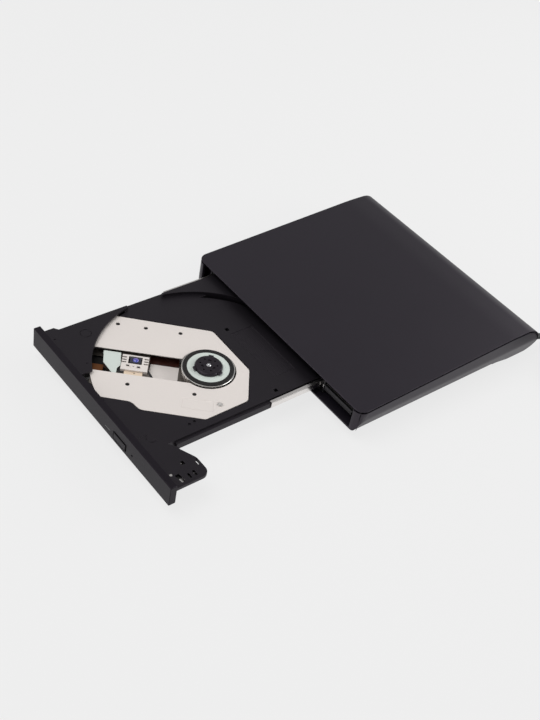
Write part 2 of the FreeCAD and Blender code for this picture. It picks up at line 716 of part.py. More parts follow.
def make_bezel():
    """The front panel: a shallow tray shape with the button's opening, light slit and wire hole."""
    half = BEZEL_WIDTH / 2
    panel = front_profile(
        [(-half, 0, 0.6), (half, 0, 0.6), (half, BEZEL_HEIGHT, 0.6), (-half, BEZEL_HEIGHT, 0.6)],
        (0, BEZEL_DEPTH),
    )
    panel = panel.cut(box((-half + 1.0, half - 1.0), (1.2, 9), (1.0, BEZEL_HEIGHT - 1.0)))
    gap = BUTTON_GAP
    panel = panel.cut(box((BUTTON_X[0] - gap, BUTTON_X[1] + gap), (-1, 2), (BUTTON_Z[0] - gap, BUTTON_Z[1] + gap)))
    panel = panel.cut(box(SLIT_X, (-1, 2), SLIT_Z))
    panel = panel.cut(along_y(EMERGENCY_HOLE[0], (-1, 2), EMERGENCY_HOLE[1], 0.6))
    face_edges = [edge for edge in panel.Edges if edge.BoundBox.YMax < 0.01 and edge.Length > 11.9]
    panel = panel.makeFillet(0.35, face_edges)
    return to_tray(panel)


def make_bezel_clips():
    """Two small catches that hold the bezel on the tray's front wall."""
    clips = [box((x - 3, x + 3), (1.2, BEZEL_DEPTH), (3.0, 6.0)) for x in (-50, -20)]
    clips.append(box((44, 50), (1.2, BEZEL_DEPTH), (8.6, 9.3)))
    return to_tray(Part.makeCompound(clips))


def make_eject_button():
    """The button: a cap through the bezel, a flange behind it and a stem to the switch."""
    cap = front_profile(
        [
            (BUTTON_X[0], BUTTON_Z[0], 0.5), (BUTTON_X[1], BUTTON_Z[0], 0.5),
            (BUTTON_X[1], BUTTON_Z[1], 0.5), (BUTTON_X[0], BUTTON_Z[1], 0.5),
        ],
        (-0.25, 1.6),
    )
    flange = box((BUTTON_X[0] - 0.8, BUTTON_X[1] + 0.8), (1.3, 2.1), (BUTTON_Z[0] - 0.6, BUTTON_Z[1] + 0.8))
    stem = box((19.0, 22.0), (2.0, 3.9), (2.8, 5.2))
    return to_tray(join([cap, flange, stem]))


def make_light_pipe():
    """The clear strip that carries the indicator's light to the bezel's slit."""
    strip = box((SLIT_X[0] + 0.05, SLIT_X[1] - 0.05), (0.05, 2.2), (SLIT_Z[0] + 0.05, SLIT_Z[1] - 0.05))
    root = box((8.3, 10.1), (2.1, 4.6), (3.1, 4.4))
    return to_tray(join([strip, root]))


def make_front_board():
    """The narrow board behind the bezel that carries the switch and the indicator."""
    return to_tray(box((4.0, 30.0), (5.6, 13.6), (1.9, 2.7)))


def make_eject_switch():
    """The push switch behind the eject button."""
    body = box((17.4, 23.6), (5.6, 9.2), (2.7, 5.9))
    tip = box((19.6, 21.4), (4.75, 5.7), (3.3, 4.7))
    return to_tray(join([body, tip]))


def make_led():
    """The indicator on the front board."""
    body = box((8.1, 10.3), (5.6, 7.4), (2.7, 4.5))
    lens = along_y(9.2, (4.75, 5.6), 3.7, 0.7)
    return to_tray(join([body, lens]))


def make_bottom_shield():
    """The sheet under the tray, with a window for cooling and turned up ends."""
    sheet = box((TRAY_LEFT + 1.4, TRAY_RIGHT - 1.4), (6, TRAY_REAR - 1.5), (1.05, 1.45))
    for x in (-45, -27, -9, 9):
        sheet = sheet.cut(plate([(x, 108, 1.4), (x + 12, 108, 1.4), (x + 12, 111, 1.4), (x, 111, 1.4)], (0, 3)))
    sheet = sheet.cut(upright(HUB_X, HUB_Y, (0, 3), 4.0))
    sheet = sheet.cut(box((-54, -2), (SOCKET_NOTCH_Y - 0.4, TRAY_REAR), (0, 3)))
    for x, y in SHIELD_SCREWS:
        sheet = sheet.cut(upright(x, y, (0, 3), 0.8))
    return to_tray(sheet)


def make_shield_screws():
    """Four screws through the shield at its corners."""
    screws = [cross_screw(x, y, 1.05, 1.4, 0.3, 0.7, 2.4, up=True) for x, y in SHIELD_SCREWS]
    return to_tray(Part.makeCompound(screws))


def make_main_board():
    """The drive's main board under the rear of the tray's floor."""
    board = plate(
        [(-56, 92.0, 2), (-30, 92.0, 2), (-24, 90.0), (33.5, 90.0, 1), (33.5, 118.5), (-56, 118.5)],
        (2.6, 3.4),
    )
    for a, b in DAMPER_PLACES:
        board = board.cut(to_mechanism(upright(a, b, (0, 9), DAMPER_RADIUS + 0.8)))
    return to_tray(board)


def make_board_chips():
    """Chips, a memory, a motor driver and small capacitors on the main board."""
    parts = [
        box((-12, 2), (97, 111), (3.4, 4.7)),
        box((8, 17), (96, 101.5), (3.4, 4.6)),
        box((8, 17), (104, 112), (3.4, 4.6)),
        box((-30, -20), (98, 108), (3.4, 4.8)),
        plate([(22, 98, 1.3), (29, 98, 1.3), (29, 100.6, 1.3), (22, 100.6, 1.3)], (3.4, 4.8)),
    ]
    for row in range(2):
        for column in range(7):
            x = -50 + 2.6 * column
            parts.append(box((x, x + 1.6), (99 + 6 * row, 99.9 + 6 * row), (3.4, 4.1)))
    return to_tray(Part.makeCompound(parts))


def make_board_socket():
    """The flat cable's socket on the main board."""
    return to_tray(box((-35, -13), (112.5, 116.5), (3.4, 4.9)))


def make_latch_solenoid():
    """The flat coil under the ear that pulls the latch."""
    body = box((41.0, 48.0), (9.5, 18.5), (6.0, 8.3))
    core = along_y(44.5, (7.4, 9.6), 7.1, 0.9)
    return to_tray(join([body, core]))


def make_latch_pivot():
    """The post that the latch lever turns on."""
    post = upright(54.7, 6.6, (5.95, EAR_TOP_Z - 0.1), 0.75)
    cap = upright(54.7, 6.6, (7.05, 7.5), 1.3)
    return to_tray(join([post, cap]))


def make_latch_lever():
    """The steel hook that catches the case's pin, with an arm towards the coil's core."""
    lever = plate(
        [
            (53.4, 5.4, 0.8), (55.9, 5.4, 0.8), (56.2, 8.0), (56.2, 11.8), (58.2, 11.8, 0.2), (58.6, 13.0, 0.4),
            (54.6, 13.4, 0.8), (53.6, 8.4, 0.6), (46.0, 8.2, 0.4), (46.0, 6.9, 0.4), (52.4, 6.4),
        ],
        (6.0, 7.0),
    )
    return to_tray(lever.cut(upright(54.7, 6.6, (5, 8), 0.75 + RUNNING_GAP)))


# Disc mechanism


def make_traverse_deck():
    """The silver plate round the pickup's slot and the turntable."""
    z = (DECK_TOP_Z - DECK_THICKNESS, DECK_TOP_Z)
    deck = deck_area(0, 61.9, z)
    deck = deck.cut(to_mechanism(box((-80, 0), (SLOT_LOW, SLOT_HIGH), (0, 20))))
    deck = deck.cut(upright(HUB_X, HUB_Y, (0, 20), ROTOR_RADIUS + 0.7))
    for x, y in ((-50.5, 43.7), (-40.5, 55.1), (-28.1, 69.3), (-8.8, 23.0), (14.0, 49.0)):
        deck = deck.cut(upright(x, y, (0, 20), 1.15))
    deck = deck.cut(upright(26.6, 56.2, (DECK_TOP_Z - 0.2, 20), 2.0))
    deck = deck.cut(upright(26.6, 56.2, (0, 20), 0.85))
    label = box((-11.0, 5.0), (-31.2, -23.8), (DECK_TOP_Z - 0.12, 20))
    deck = deck.cut(to_mechanism(label))
    return to_tray(deck)


def make_traverse_base():
    """The cast frame under the deck: two arms, rod seats and the floor under the turntable."""
    high = (2.0, DECK_TOP_Z - DECK_THICKNESS)
    upper_arm = plate([(-63, 22.6), (-58, 26.5), (0, 27), (0, 24.2), (-57, 24.0), (-58.5, 22.6)], high)
    lower_arm = plate([(-59.6, -17.8), (-59.6, -21.5), (-50, -28.5), (-2, -30.5), (-2, -27.5), (-50, -25.4),
                       (-57.6, -22.2), (-58.1, -17.8)], high)
    floor = plate([(-30, -12.3), (-30, 6), (-13, 6.3), (-11.6, 12.4), (-11.4, 27), (0, 27), (17, 9),
                   (18.5, -14), (2, -30.5), (-17, -30)], (2.0, 2.6))
    hub_clear = upright(0, 0, (3.0, 9), ROTOR_RADIUS + 0.6)
    seats = [
        box((-63, -61.6), (13.0, 23.0), (2.0, 6.4)),
        box((-11.4, -9.9), (13.2, 26.0), (2.0, 6.2)),
        box((-59.6, -58.1), (-21.5, -18.0), (2.0, 6.2)),
        box((-16.2, -14.8), (-28.5, -18.4), (2.0, 6.2)),
    ]
    posts = [upright(13.0, 11.0, (2.0, high[1]), 1.4), upright(15.5, -17, (2.0, high[1]), 2.2)]
    lugs = [
        box((-29.0, -23.0), (26.0, 36.0), (3.7, 4.5)),
        box((-2.0, 8.5), (24.4, 34.0), (3.7, 4.5)),
        box((16.0, 27.0), (-5.0, 1.0), (2.0, 4.5)),
    ]
    frame = join([upper_arm, lower_arm, floor, *seats, *posts, *lugs]).cut(hub_clear)
    for a, b in DAMPER_PLACES:
        frame = frame.cut(upright(a, b, (1.9, 6), DAMPER_RADIUS))
    frame = frame.cut(upright(0, 0, (1.9, 6), 3.4))
    frame = frame.cut(along_x((-64, -9), MAIN_ROD_OFFSET, ROD_Z, MAIN_ROD_RADIUS + 0.02))
    frame = frame.cut(along_x((-61, -14), SUB_ROD_OFFSET, ROD_Z, SUB_ROD_RADIUS + 0.02))
    frame = frame.cut(along_x((-64, -9), SCREW_OFFSET, ROD_Z, LEAD_SCREW_RADIUS * 0.6 + RUNNING_GAP))
    frame = frame.cut(box((-30.5, 1), (-12.4, 6.1), (2.15, 3)))
    return to_tray(to_mechanism(frame))


def make_deck_screw():
    """The small screw that shows on the deck, sunk in its ring."""
    return to_tray(cross_screw(26.6, 56.2, DECK_TOP_Z - 0.2, 1.45, 0.35, 0.75, 0.6))


def make_dampers():
    """Three rubber bushes that carry the mechanism on the tray."""
    bushes = [ring(a, b, (2.7, 5.4), DAMPER_RADIUS, 1.2) for a, b in DAMPER_PLACES]
    return to_tray(Part.makeCompound([to_mechanism(bush) for bush in bushes]))


def make_damper_screws():
    """Three screws through the rubber bushes."""
    screws = [
        to_mechanism(cross_screw(a, b, 2.7, 2.1, 0.8, 1.0, 4.5, up=True))
        for a, b in DAMPER_PLACES
    ]
    return to_tray(Part.makeCompound(screws))


def make_guide_rods():
    """The pickup's two polished guide rods."""
    main = along_x((-63, -9.9), MAIN_ROD_OFFSET, ROD_Z, MAIN_ROD_RADIUS)
    sub = along_x((-59.6, -14.8), SUB_ROD_OFFSET, ROD_Z, SUB_ROD_RADIUS)
    return to_tray(to_mechanism(main)), to_tray(to_mechanism(sub))


def make_sled_motor():
    """The small stepping motor that turns the lead screw."""
    can = along_x((-8.6, 0.4), SCREW_OFFSET, 4.65, 2.0)
    body = join([can, box((-8.6, 0.0), (SCREW_OFFSET - 2.0, SCREW_OFFSET + 2.0), (2.65, 4.6))])
    bore = along_x((-9, -6), SCREW_OFFSET, ROD_Z, LEAD_SCREW_RADIUS * 0.6 + RUNNING_GAP)
    clear = upright(0, 0, (0, 20), ROTOR_RADIUS + 0.9)
    return to_tray(to_mechanism(body.cut(bore).cut(clear)))


def make_lead_screw():
    """The pickup's drive screw with plain journals at its ends and a ridged middle."""
    journal = along_x((-62.8, -6.4), SCREW_OFFSET, ROD_Z, LEAD_SCREW_RADIUS * 0.6)
    core = along_x((-61.2, -12.0), SCREW_OFFSET, ROD_Z, LEAD_SCREW_RADIUS)
    grooves = []
    pitch = 1.5
    for index in range(31):
        x = -59.6 + pitch * index
        groove = along_x((x, x + 0.35), SCREW_OFFSET, ROD_Z, LEAD_SCREW_RADIUS + 0.2)
        grooves.append(groove.cut(along_x((x, x + 0.35), SCREW_OFFSET, ROD_Z, LEAD_SCREW_RADIUS - 0.2)))
    core = core.cut(Part.makeCompound(grooves))
    return to_tray(to_mechanism(join([journal, core])))


def make_pickup_body():
    """The cast pickup body: a middle block, two bearings on the main rod and a fork on the other."""
    start = -PICKUP_RADIUS
    block = plate(
        [
            (start - 17.5, 4.2), (start - 9, 12.0, 1), (start + 7.0, 12.6, 1), (start + 7.0, -7.0),
            (start + 9.6, -11.8), (start - 9.5, -12.0, 1), (start - 16.5, -4.6),
        ],
        (2.95, 5.4),
    )
    bearings = []
    for shift in (-2.9, 6.2):
        bearings.append(along_x((start + shift, start + shift + 4.2), MAIN_ROD_OFFSET, ROD_Z, 2.1))
    bridge = box((start - 2.9, start + 10.4), (11.5, 14.6), (5.35, 6.2))
    bridge = bridge.cut(along_x((start - 4, start + 12), MAIN_ROD_OFFSET, ROD_Z, MAIN_ROD_RADIUS + 0.3))
    arm = box((start + 1.9, start + 4.9), (-21.6, -11.6), (2.95, 5.4))
    arm = arm.cut(box((start, start + 6), (-22, -18.3), (ROD_Z - 1.05, ROD_Z + 1.05)))
    body = join([block, *bearings, bridge, arm])
    body = body.cut(along_x((start - 5, start + 12), MAIN_ROD_OFFSET, ROD_Z, MAIN_ROD_RADIUS + RUNNING_GAP))
    body = body.cut(box((start - 6.4, start + 4.9), (-7.0, 2.2), (3.6, 9)))
    return to_tray(to_mechanism(body))


def make_rack():
    """The toothed finger on the pickup that rides on the lead screw."""
    start = -PICKUP_RADIUS
    top = ROD_Z + LEAD_SCREW_RADIUS + RUNNING_GAP
    finger = box((start + 0.4, start + 4.6), (MAIN_ROD_OFFSET + 0.2, SCREW_OFFSET + 1.3), (top, top + 0.7))
    root = box((start + 1.3, start + 5.2), (13.2, 16.2), (5.9, 6.7))
    finger = join([finger, root])
    finger = finger.cut(along_x((start - 5, start + 12), MAIN_ROD_OFFSET, ROD_Z, 2.1))
    bridge = box((start - 2.9, start + 10.4), (11.5, 14.6), (5.35, 6.2))
    return to_tray(to_mechanism(finger.cut(bridge)))


def make_pickup_cover():
    """The pale plate over the outer part of the pickup."""
    start = -PICKUP_RADIUS
    cover = plate(
        [
            (start - 17.8, 4.4, 0.5), (start - 8.5, 4.4), (start - 8.0, -1.0), (start - 7.5, -5.0), (start - 9.1, -7.6),
            (start - 9.1, -11.6, 0.4), (start - 11.1, -11.8, 0.4), (start - 16.7, -4.5, 0.8),
        ],
        (6.3, 6.7),
    )
    legs = [upright(start - 15, 1.5, (5.4, 6.4), 0.8), upright(start - 11, -8, (5.4, 6.4), 0.7)]
    return to_tray(to_mechanism(join([cover, *legs])))


def make_actuator_frame():
    """The bright folded frame round the lens, with comb teeth at both ends."""
    start = -PICKUP_RADIUS
    x = (start - 7.4, start + 6.6)
    frame = box(x, (-8.4, 3.1), (5.4, 7.1))
    frame = frame.cut(box((x[0] + 0.4, x[1] - 0.4), (-8.0, 2.7), (5.3, 6.7)))
    frame = frame.cut(box((start - 4.0, start + 3.2), (-3.4, 2.2), (5, 9)))
    for side in (-1, 1):
        for index in range(3):
            low = -3.1 + 1.9 * index
            root = start - 0.4 + side * 5.9
            frame = frame.cut(box((root - 1.3, root + 1.3), (low, low + 0.9), (6.0, 9)))
    for shift in (-3.2, 1.8):
        frame = frame.cut(box((start + shift - 1.1, start + shift + 1.1), (-6.6, -5.6), (6.85, 9)))
    return to_tray(to_mechanism(frame))


def make_pickup_board():
    """The small tan board beside the actuator."""
    start = -PICKUP_RADIUS
    board = box((start - 5.2, start + 4.4), (-11.8, -8.5), (5.4, 6.1))
    board = board.cut(box((start - 1.0, start + 0.6), (-9.6, -8.9), (5.9, 9)))
    board = board.cut(box((start - 1.6, start + 1.2), (-11.2, -10.7), (5.9, 9)))
    return to_tray(to_mechanism(board))


def make_lens_holder():
    """The dark carrier round the lens."""
    start = -PICKUP_RADIUS
    holder = plate(
        [(start - 3.2, -2.7, 0.7), (start + 2.6, -2.7, 0.7), (start + 2.6, 1.7, 0.7), (start - 3.2, 1.7, 0.7)],
        (4.5, 7.2),
    )
    return to_tray(to_mechanism(holder.cut(upright(start - 0.2, -0.4, (6.2, 9), 1.75))))


def make_objective_lens():
    """The small domed lens."""
    start = -PICKUP_RADIUS
    dome = Part.makeSphere(2.6, V(start - 0.2, -0.4, 5.2))
    lens = dome.common(upright(start - 0.2, -0.4, (6.2, 8), 1.7))
    return to_tray(to_mechanism(lens))


def make_pickup_flex():
    """The brown flat cable on the mechanism's floor that feeds the pickup."""
    ribbon = box((-44, -16.2), (-2.8, 5.9), (2.7, 2.82))
    return to_tray(to_mechanism(ribbon))


def make_spindle_stator():
    """The spindle motor's coils: nine teeth round a core."""
    core = ring(0, 0, (2.9, 5.4), 5.0, 2.75)
    teeth = []
    for index in range(9):
        tooth = box((4.6, 11.8), (-0.9, 0.9), (3.2, 5.1))
        winding = box((5.6, 10.6), (-1.35, 1.35), (2.95, 5.35))
        shoe = box((11.0, 11.9), (-2.4, 2.4), (3.2, 5.1))
        arm = join([tooth, winding, shoe])
        arm.rotate(V(0, 0, 0), Z_AXIS, 40 * index)
        teeth.append(arm)
    return to_tray(to_mechanism(join([core, *teeth])))


def make_spindle_bearing():
    """The bronze bush that the turntable's shaft turns in."""
    bush = ring(0, 0, (2.6, 7.2), 2.7, SHAFT_RADIUS + RUNNING_GAP)
    foot = upright(0, 0, (1.5, 2.6), 3.4)
    return to_tray(to_mechanism(join([bush, foot])))


def make_rotor_can():
    """The bright cup that turns round the stator, with a rolled step near its top."""
    can = upright(0, 0, (3.3, 8.7), ROTOR_RADIUS - 0.6)
    can = join([can, upright(0, 0, (7.9, 8.7), ROTOR_RADIUS)])
    can = can.cut(upright(0, 0, (3.0, 7.9), ROTOR_RADIUS - 1.2))
    return to_tray(to_mechanism(can.cut(upright(0, 0, (0, 20), SHAFT_RADIUS + 0.01))))


def make_rotor_magnet():
    """The magnet ring inside the cup."""
    return to_tray(to_mechanism(ring(0, 0, (3.5, 7.6), ROTOR_RADIUS - 1.25, ROTOR_RADIUS - 1.85)))


def make_turntable_ring():
    """The pale platter on the cup."""
    platter = ring(0, 0, (8.7, 9.0), RING_RADIUS, SHAFT_RADIUS + 0.01)
    return to_tray(to_mechanism(platter))


def make_rubber_ring():
    """The black rubber ring that grips the disc."""
    return to_tray(to_mechanism(ring(0, 0, (8.7, 9.3), RUBBER_RADIUS, RING_RADIUS + 0.05)))


def pawl_slot(grow):
    """The space for one spring catch in the hub, along +X."""
    return box((4.5 - grow, 9.0), (-1.5 - grow, 1.5 + grow), (9.35 - grow, 10.45 + grow))


def make_chuck_hub():
    """The black hub that centres the disc, with three catch slots, small holes and a chamfer."""
    hub = upright(0, 0, (9.0, 10.8), HUB_RADIUS)
    top_edge = [edge for edge in hub.Edges if edge.BoundBox.ZMin > 10.7]
    hub = hub.makeChamfer(0.6, top_edge)
    for index in range(PAWL_COUNT):
        slot = pawl_slot(0.15)
        slot.rotate(V(0, 0, 0), Z_AXIS, 120 * index + PAWL_TURN)
        hub = hub.cut(slot)
        for spread in (-24, 24):
            hole = upright(4.6, 0, (10.0, 12), 0.55)
            hole.rotate(V(0, 0, 0), Z_AXIS, 120 * index + PAWL_TURN + 60 + spread)
            hub = hub.cut(hole)
        recess = box((3.0, 4.1), (-0.9, 0.9), (10.2, 12))
        recess.rotate(V(0, 0, 0), Z_AXIS, 120 * index + PAWL_TURN)
        hub = hub.cut(recess)
    return to_tray(to_mechanism(hub.cut(upright(0, 0, (0, 20), SHAFT_RADIUS + 0.01))))


def make_pawls():
    """The three spring catches that hold the disc on the hub."""
    pawls = []
    for index in range(PAWL_COUNT):
        pawl = box((5.6, PAWL_REACH), (-1.4, 1.4), (9.4, 10.35))
        nose = [edge for edge in pawl.Edges if edge.BoundBox.XMin > PAWL_REACH - 0.1 and edge.BoundBox.YLength > 2]
        pawl = pawl.makeChamfer(0.35, nose)
        pawl.rotate(V(0, 0, 0), Z_AXIS, 120 * index + PAWL_TURN)
        pawls.append(to_tray(to_mechanism(pawl)))
    return pawls


def make_spindle_shaft():
    """The turntable's steel shaft."""
    return to_tray(to_mechanism(upright(0, 0, (2.7, 10.95), SHAFT_RADIUS)))


# Cord


def rounded_path(route):
    """A wire of straight runs joined by tangent arcs, and the arcs' radii."""
    points = [V(*point) for point in route]
    edges = []
    radii = []
    start = points[0]
    for before, corner, after in zip(points, points[1:], points[2:]):
        back = before - corner
        ahead = after - corner
        turn = math.pi - back.getAngle(ahead)
        radius = 0.45 * min(back.Length, ahead.Length) / math.tan(turn / 2)
        reach = radius * math.tan(turn / 2)
        back.normalize()
        ahead.normalize()
        into = corner + back * reach
        out = corner + ahead * reach
        towards_centre = (back + ahead).normalize()
        middle = corner + towards_centre * (radius / math.cos(turn / 2) - radius)
        edges.append(Part.LineSegment(start, into).toShape())
        edges.append(Part.Arc(into, middle, out).toShape())
        radii.append(round(radius, 1))
        start = out
    edges.append(Part.LineSegment(start, points[-1]).toShape())
    return Part.Wire(edges), radii


def tube(path, radius, direction):
    """A round tube along a wire that starts in a given direction."""
    start = path.Edges[0].Vertexes[0].Point
    profile = Part.Wire(Part.makeCircle(radius, start, direction))
    return path.makePipeShell([profile], True, False)


def make_stretch(route, name):
    """A free stretch of cord. Prints its radii, and its volume against section times length."""
    path, radii = rounded_path(route)
    direction = V(*route[1]) - V(*route[0])
    solid = tube(path, CORD_RADIUS, direction)
    expected = math.pi * CORD_RADIUS**2 * path.Length
    print(name, "length", round(path.Length, 1), "radii", radii, "volume ratio", round(solid.Volume / expected, 4))
    return solid


def coil_point(turns):
    """The coil's centre line after so many turns: in on the floor, up half a turn, and out again."""
    spiral = COIL_SPIRAL_TURNS
    climb = 0.5
    inner = COIL_OUTER_RADIUS - COIL_PITCH * spiral
    low = CORD_RADIUS
    high = CORD_RADIUS + COIL_PITCH
    if turns <= spiral:
        radius = COIL_OUTER_RADIUS - COIL_PITCH * turns
        height = low
    elif turns <= spiral + climb:
        share = (turns - spiral) / climb
        radius = inner - COIL_PITCH * climb * 0.5 * math.sin(math.pi * share) * 0.5
        height = low + (high - low) * (1 - math.cos(math.pi * share)) / 2
    else:
        radius = inner + COIL_PITCH * (turns - spiral - climb)
        height = high
    angle = math.pi / 2 - 2 * math.pi * turns
    return COIL_CENTRE + V(radius * math.cos(angle), radius * math.sin(angle), height)


def least_gap(samples):
    """The least gap from the coil to itself, on points that are over a third of a turn apart."""
    least = 1000.0
    apart = len(samples) // 9
    for index, point in enumerate(samples):
        for other in samples[index + apart:]:
            least = min(least, point.distanceToPoint(other))
    return least - 2 * CORD_RADIUS


def biarc(start, start_tangent, end, end_tangent):
    """Two arcs that leave start and reach end along the given tangents and meet smoothly."""
    chord = end - start
    total = start_tangent + end_tangent
    a = 2 * (1 - start_tangent.dot(end_tangent))
    b = 2 * chord.dot(total)
    c = -chord.dot(chord)
    length = -c / b if abs(a) < 1e-9 else (-b + math.sqrt(b * b - 4 * a * c)) / (2 * a)
    first = start + start_tangent * length
    second = end - end_tangent * length
    joint = (first + second) * 0.5
    edges = []
    for begin, corner, finish in ((start, first, joint), (joint, second, end)):
        toward = (begin - corner).normalize() + (finish - corner).normalize()
        half = (begin - corner).getAngle(finish - corner) / 2
        if math.pi / 2 - half < 1e-4:
            edges.append(Part.LineSegment(begin, finish).toShape())
            continue
        toward.normalize()
        radius = begin.distanceToPoint(corner) * math.tan(half)
        middle = corner + toward * (radius / math.sin(half) - radius)
        edges.append(Part.Arc(begin, middle, finish).toShape())
    return edges


def make_coil():
    """The put-away length of the cord, wound in one unbroken tube of two layers."""
    turns = 2 * COIL_SPIRAL_TURNS + 0.5
    per_turn = 8
    steps = int(turns * per_turn)
    knots = [coil_point(turns * index / steps) for index in range(steps + 1)]
    step = 1e-4
    tangents = []
    for index in range(steps + 1):
        at = turns * index / steps
        tangents.append((coil_point(min(at + step, turns)) - coil_point(max(at - step, 0))).normalize())
    tangents[0] = V(1, 0, 0)
    tangents[-1] = V(1, 0, 0)
    straight = 2 * CORD_RADIUS
    entry = knots[0] - tangents[0] * straight
    leave = knots[-1] + tangents[-1] * straight
    edges = [Part.LineSegment(entry, knots[0]).toShape()]
    for index in range(steps):
        edges += biarc(knots[index], tangents[index], knots[index + 1], tangents[index + 1])
    edges.append(Part.LineSegment(knots[-1], leave).toShape())
    path = Part.Wire(edges)
    solid = tube(path, CORD_RADIUS, tangents[0])
    samples = path.discretize(720)
    expected = math.pi * CORD_RADIUS**2 * path.Length
    print("cord_coil length", round(path.Length, 1), "least gap", round(least_gap(samples), 2),
          "volume ratio", round(solid.Volume / expected, 4))
    return solid


def make_strain_relief():
    """The rubber grommet that holds the cord in the rear wall, with a short tapered nose."""
    x, y, z = CORD_EXIT
    flange = along_y(x, (66.6, 68.4), z, 2.5)
    neck = along_y(x, (68.3, 71.0), z, 2.25)
    nose = Part.makeCone(2.25, CORD_RADIUS + 0.2, y - 70.9, V(x, 70.9, z), Y_AXIS)
    tail = along_y(x, (65.4, 66.7), z, CORD_RADIUS)
    grommet = join([flange, neck, nose, tail])
    return grommet.common(box((0, 71.0), (60, 80), (0, 20)))


def make_plug():
    """The plug at the cord's end: grip, folded metal shell and contact tongue."""
    y = PLUG_FRONT_Y
    grip = plate(
        [
            (PLUG_X - 2.6, y), (PLUG_X + 2.6, y), (PLUG_X + 6.2, y - 6, 3), (PLUG_X + 6.2, y - 20.5, 1),
            (PLUG_X - 6.2, y - 20.5, 1), (PLUG_X - 6.2, y - 6, 3),
        ],
        (PLUG_Z - 4.2, PLUG_Z + 4.2),
    )
    long_edges = [edge for edge in grip.Edges if edge.BoundBox.ZLength < 0.01 and edge.BoundBox.YMax < y - 0.1]
    grip = grip.makeFillet(0.9, long_edges)
    shell_y = (y - 32.5, y - 20.5)
    shell = box((PLUG_X - 6.0, PLUG_X + 6.0), shell_y, (PLUG_Z - 2.25, PLUG_Z + 2.25))
    shell = shell.cut(box((PLUG_X - 5.7, PLUG_X + 5.7), (shell_y[0] - 1, shell_y[1] - 0.4),
                          (PLUG_Z - 1.95, PLUG_Z + 1.95)))
    for x in (-2.9, 2.9):
        window = box((PLUG_X + x - 1.0, PLUG_X + x + 1.0), (y - 28.4, y - 26.2), (PLUG_Z - 3, PLUG_Z + 3))
        shell = shell.cut(window)
    tongue = box((PLUG_X - 5.6, PLUG_X + 5.6), (y - 31.8, y - 20.9), (PLUG_Z - 1.9, PLUG_Z))
    pins = [box((PLUG_X + x - 0.5, PLUG_X + x + 0.5), (y - 30.8, y - 22), (PLUG_Z, PLUG_Z + 0.12))
            for x in (-3.5, -1.0, 1.0, 3.5)]
    return grip, shell, tongue, Part.makeCompound(pins)


def make_parts():
    """All nodes by name."""
    outer = outer_body()
    main_rod, sub_rod = make_guide_rods()
    grip, shell, tongue, pins = make_plug()
    pawls = make_pawls()
    rail = rail_right()
    guide = guide_right()
    parts = {
        "top_cover": make_top_cover(outer),
        "bottom_cover": make_bottom_cover(outer),
        "feet": make_feet(),
        "enclosure_screws": make_enclosure_screws(),
        "bridge_board": Part.makeCompound([make_bridge_board(), make_bridge_chips()]),
        "bridge_plug": make_bridge_plug(),
        "strain_relief": make_strain_relief(),
        "usb_cord": make_stretch(CORD_ROUTE, "usb_cord"),
        "cord_coil": make_coil(),
        "cord_tail": make_stretch(TAIL_ROUTE, "cord_tail"),
        "usb_plug_grip": grip,
        "usb_plug_shell": shell,
        "usb_plug_tongue": join([tongue, pins]),
        "drive_case_bottom": make_case_bottom(),
        "drive_case_top": make_case_top(),
        "case_screws": Part.makeCompound([make_case_screws(), make_bridge_screws()]),
        "drive_socket": Part.makeCompound([make_rear_board(), make_drive_socket()]),
        "latch_pin": make_latch_pin(),
        "left_guide": mirror_rail(guide),
        "right_guide": guide,
        "left_rail": mirror_rail(rail),
        "right_rail": rail,
        "flex_cable": make_flex_cable(),
        "tray_frame": make_tray_frame(),
        "bezel": join([make_bezel(), make_bezel_clips()]),
        "eject_button": make_eject_button(),
        "light_pipe": make_light_pipe(),
        "front_board": join([make_front_board(), make_led()]),
        "eject_switch": make_eject_switch(),
        "bottom_shield": make_bottom_shield(),
        "tray_screws": Part.makeCompound([make_shield_screws(), make_damper_screws(), make_deck_screw()]),
        "main_board": join([make_main_board(), make_board_socket()]),
        "board_chips": make_board_chips(),
        "latch_solenoid": make_latch_solenoid(),
        "latch_pivot": make_latch_pivot(),
        "latch_lever": make_latch_lever(),
        "traverse_deck": make_traverse_deck(),
        "traverse_base": make_traverse_base(),
        "damper_bushes": make_dampers(),
        "guide_rods": Part.makeCompound([main_rod, sub_rod]),
        "sled_motor": make_sled_motor(),
        "lead_screw": make_lead_screw(),
        "pickup_body": make_pickup_body(),
        "screw_follower": make_rack(),
        "pickup_cover": make_pickup_cover(),
        "actuator_frame": make_actuator_frame(),
        "lens_holder": make_lens_holder(),
        "objective_lens": make_objective_lens(),
        "spindle_motor": join([make_spindle_stator(), make_spindle_bearing()]),
        "rotor_can": make_rotor_can(),
        "turntable_ring": make_turntable_ring(),
        "rubber_ring": make_rubber_ring(),
        "chuck_hub": make_chuck_hub(),
        "spindle_shaft": make_spindle_shaft(),
    }
    for index, pawl in enumerate(pawls, 1):
        parts[f"chuck_pawl_{index}"] = pawl
    parts["pickup_board"] = make_pickup_board()
    parts["pickup_flex"] = make_pickup_flex()
    parts["rotor_magnet"] = make_rotor_magnet()
    return parts


def main():
    """Builds every node and writes one file for each."""
    os.makedirs("parts", exist_ok=True)
    for name, shape in make_parts().items():
        if not shape.isValid():
            print("not valid:", name)
        shape.exportStep(f"parts/{name}.step")


main()
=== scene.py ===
"""Looks of an external optical disc drive with its tray open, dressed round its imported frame.

Lengths in this file are millimetres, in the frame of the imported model: the origin is the middle of
the enclosure on the surface it stands on, +X is right seen from the front, +Y points to the back
and +Z is up. They become metres where they reach Blender.
"""

from __future__ import annotations

import json
import logging
import math
from collections.abc import Callable, Iterable, Sequence
from dataclasses import dataclass, field
from enum import Enum

import bmesh
import bpy
from mathutils import Matrix, Vector

